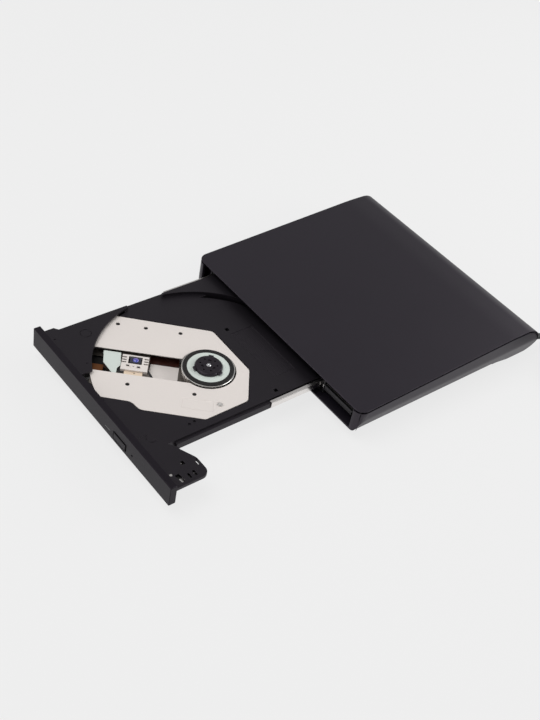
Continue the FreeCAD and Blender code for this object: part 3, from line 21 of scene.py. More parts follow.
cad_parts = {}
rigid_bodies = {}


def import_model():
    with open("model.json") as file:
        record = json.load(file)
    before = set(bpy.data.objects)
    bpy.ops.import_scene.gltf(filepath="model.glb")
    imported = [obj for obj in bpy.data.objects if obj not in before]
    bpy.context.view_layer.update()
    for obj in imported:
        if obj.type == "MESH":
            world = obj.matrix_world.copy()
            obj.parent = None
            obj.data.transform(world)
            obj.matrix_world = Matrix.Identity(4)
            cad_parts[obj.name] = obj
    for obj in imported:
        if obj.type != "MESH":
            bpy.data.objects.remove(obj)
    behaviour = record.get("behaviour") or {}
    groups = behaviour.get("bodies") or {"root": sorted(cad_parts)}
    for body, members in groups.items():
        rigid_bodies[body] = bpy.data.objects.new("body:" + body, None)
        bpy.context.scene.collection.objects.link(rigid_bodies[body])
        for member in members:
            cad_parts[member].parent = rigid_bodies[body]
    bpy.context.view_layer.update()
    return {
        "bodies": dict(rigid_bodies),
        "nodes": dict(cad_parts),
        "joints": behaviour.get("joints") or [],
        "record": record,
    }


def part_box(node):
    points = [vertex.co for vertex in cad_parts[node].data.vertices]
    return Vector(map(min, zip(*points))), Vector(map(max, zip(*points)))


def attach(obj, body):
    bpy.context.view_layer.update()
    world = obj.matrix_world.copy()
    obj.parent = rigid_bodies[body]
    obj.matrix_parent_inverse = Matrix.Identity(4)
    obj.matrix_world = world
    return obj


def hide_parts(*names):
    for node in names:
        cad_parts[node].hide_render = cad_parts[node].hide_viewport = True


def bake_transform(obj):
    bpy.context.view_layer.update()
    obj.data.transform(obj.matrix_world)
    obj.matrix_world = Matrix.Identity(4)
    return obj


log = logging.getLogger("disc_drive")

MM = 0.001
# Vertices nearer than this, in metres, are one, and faces that meet at less than this many degrees
# are one.
MERGE_DISTANCE = 2e-6
FLAT_ANGLE = 0.4
# How strongly large faces hold their normals, in percent.
NORMAL_WEIGHT = 90
# The cosine from which a normal or an edge counts as lying along an axis.
SQUARE_ON = 0.9
# The tint that the black plastics' gloss has.
VIOLET_SHEEN = (0.96, 0.85, 1.0)
# The corners of the woven rectangle on the tray's floor, in the tray's own coordinates.
WOVEN_PANEL = ((-14.7, 93.3, 0), (24.0, 107.6, 0))

Triple = tuple[float, float, float]
Pair = tuple[float, float]
Test = Callable[[Vector, Vector], bool]


class Body(Enum):
    """The moving bodies of the drive."""

    ENCLOSURE = "enclosure"
    RAILS = "slide_rails"
    TRAY = "tray"
    BUTTON = "eject_button"
    LATCH = "latch_lever"
    PICKUP = "pickup"
    LENS = "lens"
    TURNTABLE = "turntable"
    PAWL_1 = "chuck_pawl_1"
    PAWL_2 = "chuck_pawl_2"
    PAWL_3 = "chuck_pawl_3"


class Slot(Enum):
    """The finishes that the record names."""

    COVER = "cover_black"
    SHELL = "shell_black"
    BEZEL = "bezel_black"
    TRAY = "tray_black"
    HUB = "hub_plastic"
    GUIDE = "guide_plastic"
    PALE = "pale_plastic"
    TAN = "tan_plastic"
    LENS_HOLDER = "lens_plastic"
    SOCKET = "socket_plastic"
    CLEAR = "clear_plastic"
    CHIP = "chip_black"
    BOARD = "circuit_board"
    FILM = "flex_film"
    RUBBER = "rubber"
    CORD = "cord_rubber"
    GLASS = "lens_glass"
    CASE = "case_steel"
    SHIELD = "shield_steel"
    RAIL = "rail_steel"
    ROD = "rod_steel"
    SCREW = "screw_steel"
    PLUG = "plug_metal"
    DECK = "deck_silver"
    CAST = "cast_metal"
    COPPER = "coil_copper"
    MAGNET = "magnet_grey"


class Axis(Enum):
    """A direction of the frame."""

    X = "X"
    Y = "Y"
    Z = "Z"


class Element(Enum):
    """What is picked on a mesh."""

    FACE = "FACE"
    EDGE = "EDGE"


def metres(point: Sequence[float]) -> Vector:
    """A point or a move in metres."""
    return Vector(point) * MM


# Shader building


class Value:
    """A number that changes over a surface. It adds and multiplies as a plain number does."""

    def __init__(self, kit: ShaderKit, socket: bpy.types.NodeSocket) -> None:
        """Keeps the node tree's kit and the socket that gives the number."""
        self.kit = kit
        self.socket = socket

    def math(self, operation: str, *others: float | Value, swap: bool = False) -> Value:
        """Adds one Math node.

        Args:
            operation: The Math node's operation.
            others: What follows this value in the operation.
            swap: Whether this value comes second.

        Returns:
            The node's result.
        """
        operands = [self, *others]
        if swap:
            operands.reverse()
        inputs = dict(enumerate(operands))
        return self.kit.value(self.kit.node("ShaderNodeMath", {"operation": operation}, inputs))

    def __add__(self, other: float | Value) -> Value:
        """This value plus another."""
        return self.math("ADD", other)

    def __mul__(self, other: float | Value) -> Value:
        """This value times another."""
        return self.math("MULTIPLY", other)

    def __sub__(self, other: float | Value) -> Value:
        """This value less another."""
        return self.math("SUBTRACT", other)

    def __rsub__(self, other: float) -> Value:
        """A number less this value."""
        return self.math("SUBTRACT", other, swap=True)

    def __gt__(self, other: float | Value) -> Value:
        """1 where this value is above another, and else 0."""
        return self.math("GREATER_THAN", other)

    def __lt__(self, other: float | Value) -> Value:
        """1 where this value is below another, and else 0."""
        return self.math("LESS_THAN", other)

    __radd__ = __add__
    __rmul__ = __mul__

    def bands(self, pitch: float) -> Value:
        """A saw from 0 to 1 along this length, once every so many millimetres."""
        return (self * (1 / (pitch * MM))).math("FRACT")

    def wave(self, pitch: float) -> Value:
        """A smooth wave from 0 to 1 along this length, once every so many millimetres."""
        return (self * (2 * math.pi / (pitch * MM))).math("SINE") * 0.5 + 0.5


class ShaderKit:
    """The nodes of one material, or of the world, while they are being built."""

    def __init__(self, tree: bpy.types.NodeTree) -> None:
        """Empties a node tree and starts it with texture coordinates."""
        self.tree = tree
        self.tree.nodes.clear()
        self.coordinates = self.node("ShaderNodeTexCoord", {}, {})

    def node(self, kind: str, settings: dict[str, object],
             inputs: dict[str | int, object]) -> bpy.types.Node:
        """Adds a node.

        Args:
            kind: The node's type.
            settings: Its properties, which are set first.
            inputs: What its sockets get, by name or number: a number, a colour, a socket or a
                Value.

        Returns:
            The node.
        """
        node = self.tree.nodes.new(kind)
        for name, setting in settings.items():
            setattr(node, name, setting)
        for key, given in inputs.items():
            socket = node.inputs[key]
            source = given.socket if isinstance(given, Value) else given
            if isinstance(source, bpy.types.NodeSocket):
                self.tree.links.new(source, socket)
            else:
                socket.default_value = source
        return node

    def value(self, node: bpy.types.Node, output: str | int = 0) -> Value:
        """One output of a node, as a value."""
        return Value(self, node.outputs[output])

    def turned(self, turn: float) -> bpy.types.NodeSocket:
        """Object coordinates, turned about Z by an angle in radians."""
        inputs = {"Vector": self.coordinates.outputs["Object"], "Rotation": (0, 0, turn)}
        return self.node("ShaderNodeMapping", {"vector_type": "TEXTURE"}, inputs).outputs[0]

    def along(self, axis: Axis, turn: float = 0.0) -> Value:
        """The object coordinate along one axis, in metres, after a turn about Z."""
        split = self.node("ShaderNodeSeparateXYZ", {}, {"Vector": self.turned(turn)})
        return self.value(split, axis.value)

    def texture(self, kind: str, sizes: Triple, turn: float, **inputs: float) -> bpy.types.Node:
        """Adds a texture node.

        Args:
            kind: The node's type.
            sizes: The length of one unit along each axis, in millimetres.
            turn: The pattern's turn about Z, in radians.
            inputs: What its other sockets get.

        Returns:
            The node.
        """
        scale = [1 / (size * MM) for size in sizes]
        mapped = self.node("ShaderNodeMapping", {}, {"Vector": self.turned(turn), "Scale": scale})
        return self.node(kind, {}, {"Vector": mapped.outputs[0], "Scale": 1.0, **inputs})

    def noise(self, size: float | Triple, detail: float = 2.0, turn: float = 0.0) -> Value:
        """Noise from 0 to 1.

        Args:
            size: The size of its lumps in millimetres, alike all round or along each axis.
            detail: How many finer layers it has.
            turn: The pattern's turn about Z, in radians.

        Returns:
            The noise.
        """
        sizes = size if isinstance(size, tuple) else (size, size, size)
        return self.value(self.texture("ShaderNodeTexNoise", sizes, turn, Detail=detail))

    def cells(self, size: float) -> Value:
        """The distance to the middle of the nearest of many random cells, in cell sizes."""
        node = self.texture("ShaderNodeTexVoronoi", (size, size, size), 0.0)
        return self.value(node, "Distance")

    def blend(self, share: Value, first: object, second: object) -> bpy.types.NodeSocket:
        """A colour between two.

        Args:
            share: 0 for the first and 1 for the second.
            first: A colour or a socket.
            second: A colour or a socket.

        Returns:
            The colour socket.
        """
        inputs = {0: share, 6: opaque(first), 7: opaque(second)}
        return self.node("ShaderNodeMix", {"data_type": "RGBA"}, inputs).outputs[2]

    def shades(self, share: Value, colour: Triple, low: float,
               high: float) -> bpy.types.NodeSocket:
        """A colour that wanders between two shades of itself.

        Args:
            share: 0 for the darker shade and 1 for the lighter.
            colour: The colour.
            low: The darker shade's factor.
            high: The lighter shade's factor.

        Returns:
            The colour socket.
        """
        return self.blend(share, shade(colour, low), shade(colour, high))

    def bump(self, height: Value, depth: float) -> bpy.types.NodeSocket:
        """A normal from a height of 0 to 1 that stands for a depth in millimetres."""
        inputs = {"Height": height, "Distance": depth * MM}
        return self.node("ShaderNodeBump", {}, inputs).outputs[0]

    def surface(self, inputs: dict[str, object]) -> None:
        """Adds the surface shader and the output.

        Args:
            inputs: The values and links of the surface shader's sockets.
        """
        colours = ("Base Color", "Specular Tint")
        given = {key: opaque(value) if key in colours else value for key, value in inputs.items()}
        shader = self.node("ShaderNodeBsdfPrincipled", {}, given)
        self.node("ShaderNodeOutputMaterial", {}, {"Surface": shader.outputs[0]})


def opaque(colour: object) -> object:
    """A colour's three parts with an alpha of 1, or a socket as it is."""
    return (*colour, 1.0) if isinstance(colour, tuple) and len(colour) == 3 else colour


def shade(colour: Triple, factor: float) -> Triple:
    """A colour made lighter or darker by a factor."""
    return tuple(part * factor for part in colour)


def new_material(name: str) -> tuple[bpy.types.Material, ShaderKit]:
    """Starts a material.

    Args:
        name: Its name.
    """
    material = bpy.data.materials.new(name)
    material.use_nodes = True
    return material, ShaderKit(material.node_tree)


# Finishes


@dataclass(frozen=True)
class Finish:
    """A finish, which says what the surface shader's sockets get."""

    def sockets(self, kit: ShaderKit) -> dict[str, object]:
        """What each socket gets, built with a kit."""
        raise NotImplementedError

    def material(self, name: str) -> bpy.types.Material:
        """Builds the material under a name."""
        material, kit = new_material(name)
        kit.surface(self.sockets(kit))
        return material


@dataclass(frozen=True)
class MouldedPlastic(Finish):
    """Moulded plastic with spark-eroded grain, a faint mottle and slow changes of gloss."""

    colour: Triple
    roughness: float = 0.45
    specular: float = 0.3
    grain: float = 0.5
    grain_depth: float = 0.012
    mottle: float = 0.10
    tint: Triple = (1.0, 1.0, 1.0)

    def sockets(self, kit: ShaderKit) -> dict[str, object]:
        """What each socket gets, built with a kit."""
        grain = kit.noise(self.grain, 3.0)
        slow = kit.noise(22.0)
        speck = kit.noise(1.4, 1.0)
        share = slow * 0.6 + grain * 0.4
        return {
            "Base Color": kit.shades(share, self.colour, 1 - self.mottle, 1 + self.mottle),
            "Roughness": slow * 0.08 + speck * 0.06 + (self.roughness - 0.07),
            "Specular IOR Level": self.specular,
            "Specular Tint": self.tint,
            "Normal": kit.bump(grain, self.grain_depth),
        }


@dataclass(frozen=True)
class PanelPlastic(MouldedPlastic):
    """The tray's plastic, with a fine woven texture inside one rectangle of its floor."""

    low: Triple = (0, 0, 0)
    high: Triple = (0, 0, 0)
    pitch: float = 0.9

    def sockets(self, kit: ShaderKit) -> dict[str, object]:
        """What each socket gets, built with a kit."""
        grain = kit.noise(self.grain, 3.0)
        slow = kit.noise(22.0)
        across, back = kit.along(Axis.X), kit.along(Axis.Y)
        inside = (across > self.low[0] * MM) * (across < self.high[0] * MM)
        inside = inside * (back > self.low[1] * MM) * (back < self.high[1] * MM)
        weave = across.wave(self.pitch) * back.wave(self.pitch) * inside
        share = slow * 0.6 + grain * 0.4
        colour = kit.shades(share, self.colour, 1 - self.mottle, 1 + self.mottle)
        return {
            "Base Color": kit.blend(weave * 0.7, colour, shade(self.colour, 0.3)),
            "Roughness": slow * 0.08 + inside * 0.16 + (self.roughness - 0.04),
            "Specular IOR Level": self.specular,
            "Specular Tint": self.tint,
            "Normal": kit.bump(grain + weave * 10.0, self.grain_depth),
        }


@dataclass(frozen=True)
class RolledMetal(Finish):
    """Sheet metal with rolling streaks, soft spangle and fine scratches."""

    colour: Triple
    roughness: float = 0.35
    metallic: float = 1.0
    streak: Triple = (0.25, 14.0, 0.25)
    turn: float = 0.0
    depth: float = 0.004
    variation: float = 0.07

    def sockets(self, kit: ShaderKit) -> dict[str, object]:
        """What each socket gets, built with a kit."""
        streaks = kit.noise(self.streak, 3.0, self.turn)
        slow = kit.noise(16.0, 3.0)
        scratches = (kit.noise((9.0, 0.12, 0.12), 2.0, self.turn + 0.5) > 0.70) * kit.noise(5.0)
        share = streaks * 0.5 + slow * 0.5
        return {
            "Base Color": kit.shades(share, self.colour, 1 - self.variation, 1 + self.variation),
            "Metallic": self.metallic,
            "Roughness": streaks * 0.12 + slow * 0.10 + scratches * 0.06 + (self.roughness - 0.11),
            "Normal": kit.bump(streaks + scratches * 0.6, self.depth),
        }


@dataclass(frozen=True)
class SprayedMetal(Finish):
    """Sheet metal under a thin silver lacquer with a fine sparkle."""

    colour: Triple
    roughness: float = 0.42
    metallic: float = 0.35

    def sockets(self, kit: ShaderKit) -> dict[str, object]:
        """What each socket gets, built with a kit."""
        sparkle = kit.cells(0.32)
        peel = kit.noise(0.9, 2.0)
        slow = kit.noise(30.0, 2.0)
        share = sparkle * 0.35 + peel * 0.25 + slow * 0.4
        return {
            "Base Color": kit.shades(share, self.colour, 0.94, 1.04),
            "Metallic": self.metallic,
            "Roughness": peel * 0.08 + slow * 0.06 + (self.roughness - 0.07),
            "Normal": kit.bump(peel + sparkle * 0.5, 0.004),
        }


@dataclass(frozen=True)
class CastMetal(Finish):
    """Die-cast metal with a pebbled skin and darker low spots."""

    colour: Triple
    roughness: float = 0.5
    metallic: float = 0.8

    def sockets(self, kit: ShaderKit) -> dict[str, object]:
        """What each socket gets, built with a kit."""
        pebbles = kit.noise(0.7, 4.0)
        slow = kit.noise(7.0, 3.0)
        return {
            "Base Color": kit.shades(slow * 0.6 + pebbles * 0.4, self.colour, 0.72, 1.15),
            "Metallic": self.metallic,
            "Roughness": pebbles * 0.2 + (self.roughness - 0.1),
            "Normal": kit.bump(pebbles, 0.03),
        }


@dataclass(frozen=True)
class Rubber(Finish):
    """Matt rubber with a dusty bloom."""

    colour: Triple
    roughness: float = 0.7
    bloom: float = 0.35

    def sockets(self, kit: ShaderKit) -> dict[str, object]:
        """What each socket gets, built with a kit."""
        grain = kit.noise(0.35, 3.0)
        dust = kit.noise(5.0, 4.0)
        return {
            "Base Color": kit.shades(dust * self.bloom, self.colour, 1.0, 2.2),
            "Roughness": dust * 0.14 + (self.roughness - 0.07),
            "Specular IOR Level": 0.3,
            "Normal": kit.bump(grain, 0.02),
        }


@dataclass(frozen=True)
class CircuitBoard(Finish):
    """Solder mask over copper tracks, with bright pads in rows."""

    mask: Triple
    track: Triple
    pad: Triple = (0.55, 0.42, 0.18)
    pitch: float = 0.8

    def sockets(self, kit: ShaderKit) -> dict[str, object]:
        """What each socket gets, built with a kit."""
        across, back = kit.along(Axis.X), kit.along(Axis.Y)
        regions = kit.noise(6.0, 1.0) > 0.5
        rows, columns = across.bands(self.pitch) < 0.45, back.bands(self.pitch) < 0.45
        tracks = rows * regions + columns * (1 - regions)
        pads = (across.bands(3.1) < 0.22) * (back.bands(2.7) < 0.18) * (kit.noise(9.0) > 0.52)
        return {
            "Base Color": kit.blend(pads, kit.blend(tracks, self.mask, self.track), self.pad),
            "Metallic": pads * 0.8,
            "Roughness": kit.noise(2.0) * 0.1 + 0.3,
            "Normal": kit.bump(tracks + pads, 0.03),
        }


@dataclass(frozen=True)
class FlatFilm(Finish):
    """Printed film whose conductors run side by side."""

    film: Triple
    conductor: Triple
    pitch: float = 1.0
    turn: float = 0.0
    across: Axis = Axis.X
    share: float = 0.6

    def sockets(self, kit: ShaderKit) -> dict[str, object]:
        """What each socket gets, built with a kit."""
        lines = kit.along(self.across, self.turn).bands(self.pitch) < self.share
        slow = kit.noise(8.0)
        colour = kit.blend(lines, self.film, self.conductor)
        return {
            "Base Color": kit.blend(slow * 0.5, colour, shade(self.film, 0.6)),
            "Roughness": slow * 0.15 + 0.26,
            "Specular IOR Level": 0.5,
            "Normal": kit.bump(lines, 0.02),
        }


@dataclass(frozen=True)
class WoundWire(Finish):
    """Enamelled wire wound in close turns about an axis, darkened between the turns as painted shade
    in the grooves.
    """

    colour: Triple
    along: Axis = Axis.Z
    pitch: float = 0.18

    def sockets(self, kit: ShaderKit) -> dict[str, object]:
        """What each socket gets, built with a kit."""
        turns = kit.along(self.along).wave(self.pitch)
        return {
            # The darker half of each wave is painted shade in the grooves between the turns.
            "Base Color": kit.shades(turns, self.colour, 0.35, 1.0),
            "Metallic": 0.85,
            "Roughness": kit.noise(1.0) * 0.1 + 0.28,
            "Normal": kit.bump(turns, 0.05),
        }


@dataclass(frozen=True)
class CoatedGlass(Finish):
    """A coated lens that turns from blue to violet towards its rim."""

    middle: Triple
    rim: Triple

    def sockets(self, kit: ShaderKit) -> dict[str, object]:
        """What each socket gets, built with a kit."""
        facing = kit.value(kit.node("ShaderNodeLayerWeight", {}, {"Blend": 0.4}), "Facing")
        haze = kit.noise(1.2)
        return {
            "Base Color": kit.blend(facing, self.middle, self.rim),
            "Roughness": haze * 0.05 + 0.03,
            "Specular IOR Level": 0.8,
            "Coat Weight": 0.6,
        }


@dataclass
class Palette:
    """All finishes of the drive, each built once under its slot's name.

    Attributes:
        panel_low: The low corner of the woven rectangle on the tray's floor.
        panel_high: Its high corner.
        slide_angle: The direction of the pickup's travel, in radians.
        made: The materials that are built so far.
    """

    panel_low: Triple
    panel_high: Triple
    slide_angle: float
    made: dict[Slot, bpy.types.Material] = field(default_factory=dict)

    def finishes(self) -> dict[Slot, Finish]:
        """The finish of each slot."""
        violet, slide = VIOLET_SHEEN, self.slide_angle
        streak, long_streak = (0.2, 8.0, 0.2), (0.2, 30.0, 0.2)
        film, conductor = (0.020, 0.005, 0.003), (0.050, 0.010, 0.005)
        return {
            Slot.COVER: MouldedPlastic(
                (0.0060, 0.0048, 0.0080), 0.46, 0.40, 0.6, 0.010, 0.10, violet),
            Slot.SHELL: MouldedPlastic(
                (0.0072, 0.0060, 0.0092), 0.42, 0.44, 0.6, 0.010, 0.10, violet),
            Slot.BEZEL: MouldedPlastic(
                (0.0076, 0.0062, 0.0088), 0.40, 0.17, 0.5, 0.010, 0.10, violet),
            Slot.TRAY: PanelPlastic(
                (0.0060, 0.0052, 0.0066), 0.44, 0.31, 0.6, 0.012, 0.12, violet,
                self.panel_low, self.panel_high),
            Slot.HUB: MouldedPlastic(
                (0.0080, 0.0064, 0.0084), 0.34, 0.40, 0.4, 0.006, 0.10, violet),
            Slot.GUIDE: MouldedPlastic((0.02, 0.02, 0.021), 0.45, 0.35),
            Slot.PALE: MouldedPlastic((0.60, 0.655, 0.615), 0.40, 0.40, 0.8, 0.006, 0.04),
            Slot.TAN: MouldedPlastic((0.74, 0.60, 0.46), 0.45, 0.40, 0.5, 0.010, 0.08),
            Slot.LENS_HOLDER: MouldedPlastic((0.030, 0.032, 0.048), 0.35, 0.5, 0.4, 0.006),
            Slot.SOCKET: MouldedPlastic((0.028, 0.027, 0.027), 0.4, 0.4),
            Slot.CLEAR: MouldedPlastic((0.05, 0.052, 0.055), 0.16, 0.6, 1.2, 0.004, 0.2),
            Slot.CHIP: MouldedPlastic((0.014, 0.014, 0.015), 0.55, 0.35, 0.25, 0.02, 0.2),
            Slot.BOARD: CircuitBoard((0.006, 0.055, 0.03), (0.012, 0.10, 0.05)),
            Slot.FILM: FlatFilm(film, conductor, 0.9, slide, Axis.Y),
            Slot.RUBBER: Rubber((0.0085, 0.0076, 0.0076), 0.62, 0.3),
            Slot.CORD: Rubber((0.013, 0.013, 0.014), 0.5, 0.2),
            Slot.GLASS: CoatedGlass((0.05, 0.08, 0.42), (0.16, 0.04, 0.22)),
            # Painted shade: the drive's steel case is near black, far darker than galvanised steel,
            # so that the inside of the drive reads dark.
            Slot.CASE: RolledMetal((0.060, 0.058, 0.062), 0.46, 0.85),
            Slot.SHIELD: RolledMetal((0.50, 0.50, 0.51), 0.36),
            Slot.RAIL: RolledMetal((0.86, 0.83, 0.81), 0.24, 1.0, long_streak, 0.0, 0.001, 0.03),
            Slot.ROD: RolledMetal((0.78, 0.78, 0.80), 0.14, 1.0, (20.0, 0.15, 0.15), slide, 0.001),
            Slot.SCREW: RolledMetal((0.74, 0.72, 0.70), 0.38, 1.0, (0.3, 0.3, 0.3), 0.0, 0.006),
            Slot.PLUG: RolledMetal((0.72, 0.71, 0.69), 0.22, 1.0, streak, 0.0, 0.002),
            Slot.DECK: SprayedMetal((0.79, 0.735, 0.70), 0.42, 0.22),
            Slot.CAST: CastMetal((0.16, 0.14, 0.125)),
            Slot.COPPER: WoundWire((0.62, 0.24, 0.09)),
            Slot.MAGNET: CastMetal((0.10, 0.10, 0.105), 0.45, 0.5),
        }

    def material(self, slot: Slot) -> bpy.types.Material:
        """The slot's material, built the first time that it is asked for."""
        if slot not in self.made:
            self.made[slot] = self.finishes()[slot].material(slot.value)
        return self.made[slot]


# Modelling


class Piece:
    """One mesh piece while it is modelled with Blender's own tools. Lengths are millimetres."""

    def __init__(self, obj: bpy.types.Object) -> None:
        """Keeps the object that is being shaped."""
        self.obj = obj

    @classmethod
    def taken(cls, name: str) -> Piece:
        """Names the primitive that was just added and puts its place into its mesh.

        Args:
            name: The piece's name.

        Returns:
            The piece.
        """
        obj = bpy.context.active_object
        obj.name = obj.data.name = name
        bpy.ops.object.transform_apply(location=True, rotation=True, scale=True)
        return cls(obj)

    @classmethod
    def block(cls, name: str, x: Pair, y: Pair, z: Pair) -> Piece:
        """A block over three (low, high) pairs.

        Args:
            name: The piece's name.
            x: Its extent along X.
            y: Its extent along Y.
            z: Its extent along Z.

        Returns:
            The piece.
        """
        bpy.ops.object.select_all(action="DESELECT")
        spans = (x, y, z)
        middle = metres([(low + high) / 2 for low, high in spans])
        size = metres([high - low for low, high in spans])
        bpy.ops.mesh.primitive_cube_add(size=1.0, location=middle, scale=size)
        return cls.taken(name)

    @classmethod
    def turned(cls, name: str, centre: Triple, profile: Sequence[Pair], sides: int = 96,
               about: Axis = Axis.Z, closed: bool = False) -> Piece:
        """A circle that is extruded and resized from each place of a profile to the next.

        Args:
            name: The piece's name.
            centre: The point on its axis from which the profile's heights count.
            profile: (radius, height) pairs in order.
            sides: How many sides the circle has.
            about: The axis that it is turned about.
            closed: Whether the profile runs back to its start, as on a ring. Else both ends are
                capped.

        Returns:
            The piece.
        """
        bpy.ops.object.select_all(action="DESELECT")
        radius, height = profile[0]
        bpy.ops.mesh.primitive_circle_add(
            vertices=sides, radius=radius * MM, location=(0, 0, height * MM))
        piece = cls.taken(name)
        steps = [*profile[1:], profile[0]] if closed else profile[1:]
        bpy.ops.object.mode_set(mode="EDIT")
        bpy.ops.mesh.select_mode(type="VERT")
        bpy.ops.mesh.select_all(action="SELECT")
        if not closed:
            bpy.ops.mesh.edge_face_add()
            bpy.ops.mesh.select_all(action="SELECT")
        for wide, high in steps:
            move = (0, 0, (high - height) * MM)
            bpy.ops.mesh.extrude_region_move(TRANSFORM_OT_translate={"value": move})
            factor = wide / radius
            bpy.ops.transform.resize(
                value=(factor, factor, 1), center_override=(0, 0, high * MM))
            radius, height = wide, high
        bpy.ops.mesh.select_all(action="SELECT")
        bpy.ops.mesh.remove_doubles(threshold=MERGE_DISTANCE)
        bpy.ops.mesh.normals_make_consistent(inside=False)
        bpy.ops.object.mode_set(mode="OBJECT")
        turns = {
            Axis.X: Matrix.Rotation(math.pi / 2, 4, "Y"),
            Axis.Y: Matrix.Rotation(-math.pi / 2, 4, "X"),
            Axis.Z: Matrix.Identity(4),
        }
        piece.obj.matrix_world = Matrix.Translation(metres(centre)) @ turns[about]
        bpy.ops.object.transform_apply(location=True, rotation=True, scale=True)
        return piece

    @classmethod
    def merged_copy(cls, name: str, node: str) -> Piece:
        """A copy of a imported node's mesh whose loose triangles are merged into plain faces.

        Args:
            name: The piece's name.
            node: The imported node.

        Returns:
            The piece.
        """
        bpy.ops.object.select_all(action="DESELECT")
        mesh = bpy.data.objects[node].data.copy()
        mesh.name = name
        obj = bpy.data.objects.new(name, mesh)
        bpy.context.scene.collection.objects.link(obj)
        piece = cls(obj)
        piece.hold()
        bpy.ops.mesh.customdata_custom_splitnormals_clear()
        bpy.ops.object.mode_set(mode="EDIT")
        bpy.ops.mesh.select_all(action="SELECT")
        bpy.ops.mesh.remove_doubles(threshold=MERGE_DISTANCE)
        bpy.ops.mesh.dissolve_limited(angle_limit=math.radians(FLAT_ANGLE))
        bpy.ops.object.mode_set(mode="OBJECT")
        return piece

    def hold(self) -> None:
        """Makes this the one selected and active object."""
        bpy.ops.object.select_all(action="DESELECT")
        self.obj.select_set(True)
        bpy.context.view_layer.objects.active = self.obj

    def run(self, operator: Callable[..., set[str]], **settings: object) -> Piece:
        """Runs one edit mode operator on what is picked.

        Args:
            operator: The operator.
            settings: Its settings.

        Returns:
            This piece.
        """
        self.hold()
        bpy.ops.object.mode_set(mode="EDIT")
        operator(**settings)
        bpy.ops.object.mode_set(mode="OBJECT")
        return self

    def pick(self, element: Element, test: Test, angle: float = 0.0) -> Piece:
        """Selects faces or edges by their middle, in millimetres, and their normal or direction.

        Args:
            element: Faces or edges.
            test: Says whether one is picked.
            angle: The least angle, in degrees, between the faces of a picked edge.

        Returns:
            This piece.
        """
        self.hold()
        bpy.ops.object.mode_set(mode="EDIT")
        bpy.ops.mesh.select_mode(type=element.value)
        bpy.ops.mesh.select_all(action="DESELECT")
        net = bmesh.from_edit_mesh(self.obj.data)
        if element is Element.FACE:
            for face in net.faces:
                face.select_set(test(face.calc_center_median() / MM, face.normal))
        else:
            for edge in net.edges:
                first, second = (vertex.co for vertex in edge.verts)
                middle, way = (first + second) / (2 * MM), (second - first).normalized()
                wide = edge.calc_face_angle(math.pi) >= math.radians(angle)
                edge.select_set(wide and test(middle, way))
        net.select_flush_mode()
        bmesh.update_edit_mesh(self.obj.data)
        bpy.ops.object.mode_set(mode="OBJECT")
        return self

    def faces(self, test: Test) -> Piece:
        """Picks faces by their middle and normal."""
        return self.pick(Element.FACE, test)

    def edges(self, test: Test, angle: float = 0.0) -> Piece:
        """Picks edges by their middle and direction, and by the angle of their faces in degrees."""
        return self.pick(Element.EDGE, test, angle)

    def corners(self, axis: int) -> Piece:
        """Picks the edges that run along an axis, counted from 0."""
        return self.edges(lambda middle, way: abs(way[axis]) > SQUARE_ON)

    def extrude(self, move: Triple) -> Piece:
        """Extrudes what is picked by a move."""
        shift = {"value": metres(move)}
        return self.run(bpy.ops.mesh.extrude_region_move, TRANSFORM_OT_translate=shift)

    def shift(self, move: Triple) -> Piece:
        """Moves what is picked."""
        return self.run(bpy.ops.transform.translate, value=metres(move))

    def resize(self, factors: Triple, about: Triple) -> Piece:
        """Resizes what is picked about a point."""
        return self.run(bpy.ops.transform.resize, value=factors, center_override=metres(about))

    def inset(self, width: float, depth: float = 0.0) -> Piece:
        """Insets the picked faces and raises them by a depth."""
        return self.run(bpy.ops.mesh.inset, thickness=width * MM, depth=depth * MM)

    def bevel(self, width: float, segments: int = 2, clamp: bool = True) -> Piece:
        """Bevels the picked edges."""
        return self.run(bpy.ops.mesh.bevel, offset=width * MM, segments=segments,
                        affect="EDGES", clamp_overlap=clamp)

    def modifier(self, kind: str, **settings: object) -> Piece:
        """Adds and applies one modifier.

        Args:
            kind: The modifier's type.
            settings: Its settings.

        Returns:
            This piece.
        """
        self.hold()
        added = self.obj.modifiers.new(kind.title(), kind)
        for name, setting in settings.items():
            setattr(added, name, setting)
        bpy.ops.object.modifier_apply(modifier=added.name)
        return self

    def soften(self, width: float, segments: int = 2, angle: float = 40.0) -> Piece:
        """Rounds every sharp edge a little and shades the rest smooth.

        Args:
            width: The rounding's width.
            segments: How many steps it has.
            angle: The least angle of an edge that is rounded, in degrees.

        Returns:
            This piece.
        """
        self.modifier("BEVEL", width=width * MM, segments=segments, limit_method="ANGLE",
                      angle_limit=math.radians(angle), use_clamp_overlap=False,
                      miter_outer="MITER_ARC")
        return self.smooth()

    def smooth(self, angle: float = 38.0) -> Piece:
        """Shades smooth below an angle and keeps large faces flat.

        Args:
            angle: The angle, in degrees, from which an edge stays sharp.

        Returns:
            This piece.
        """
        self.hold()
        bpy.ops.object.shade_smooth_by_angle(angle=math.radians(angle))
        return self.modifier("WEIGHTED_NORMAL", keep_sharp=True, weight=NORMAL_WEIGHT)

    def place(self, matrix: Matrix) -> Piece:
        """Moves the whole mesh by a matrix in metres."""
        self.obj.data.transform(matrix)
        return self


@dataclass(frozen=True)
class Trim:
    """A small block with softened edges.

    Attributes:
        name: The piece's name.
        slot: Its finish.
        x: Its extent along X.
        y: Its extent along Y.
        z: Its extent along Z.
        softening: The rounding of its edges.
        stands_for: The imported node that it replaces, if any.
    """

    name: str
    slot: Slot
    x: Pair
    y: Pair
    z: Pair
    softening: float = 0.04
    stands_for: str = ""


# The drive


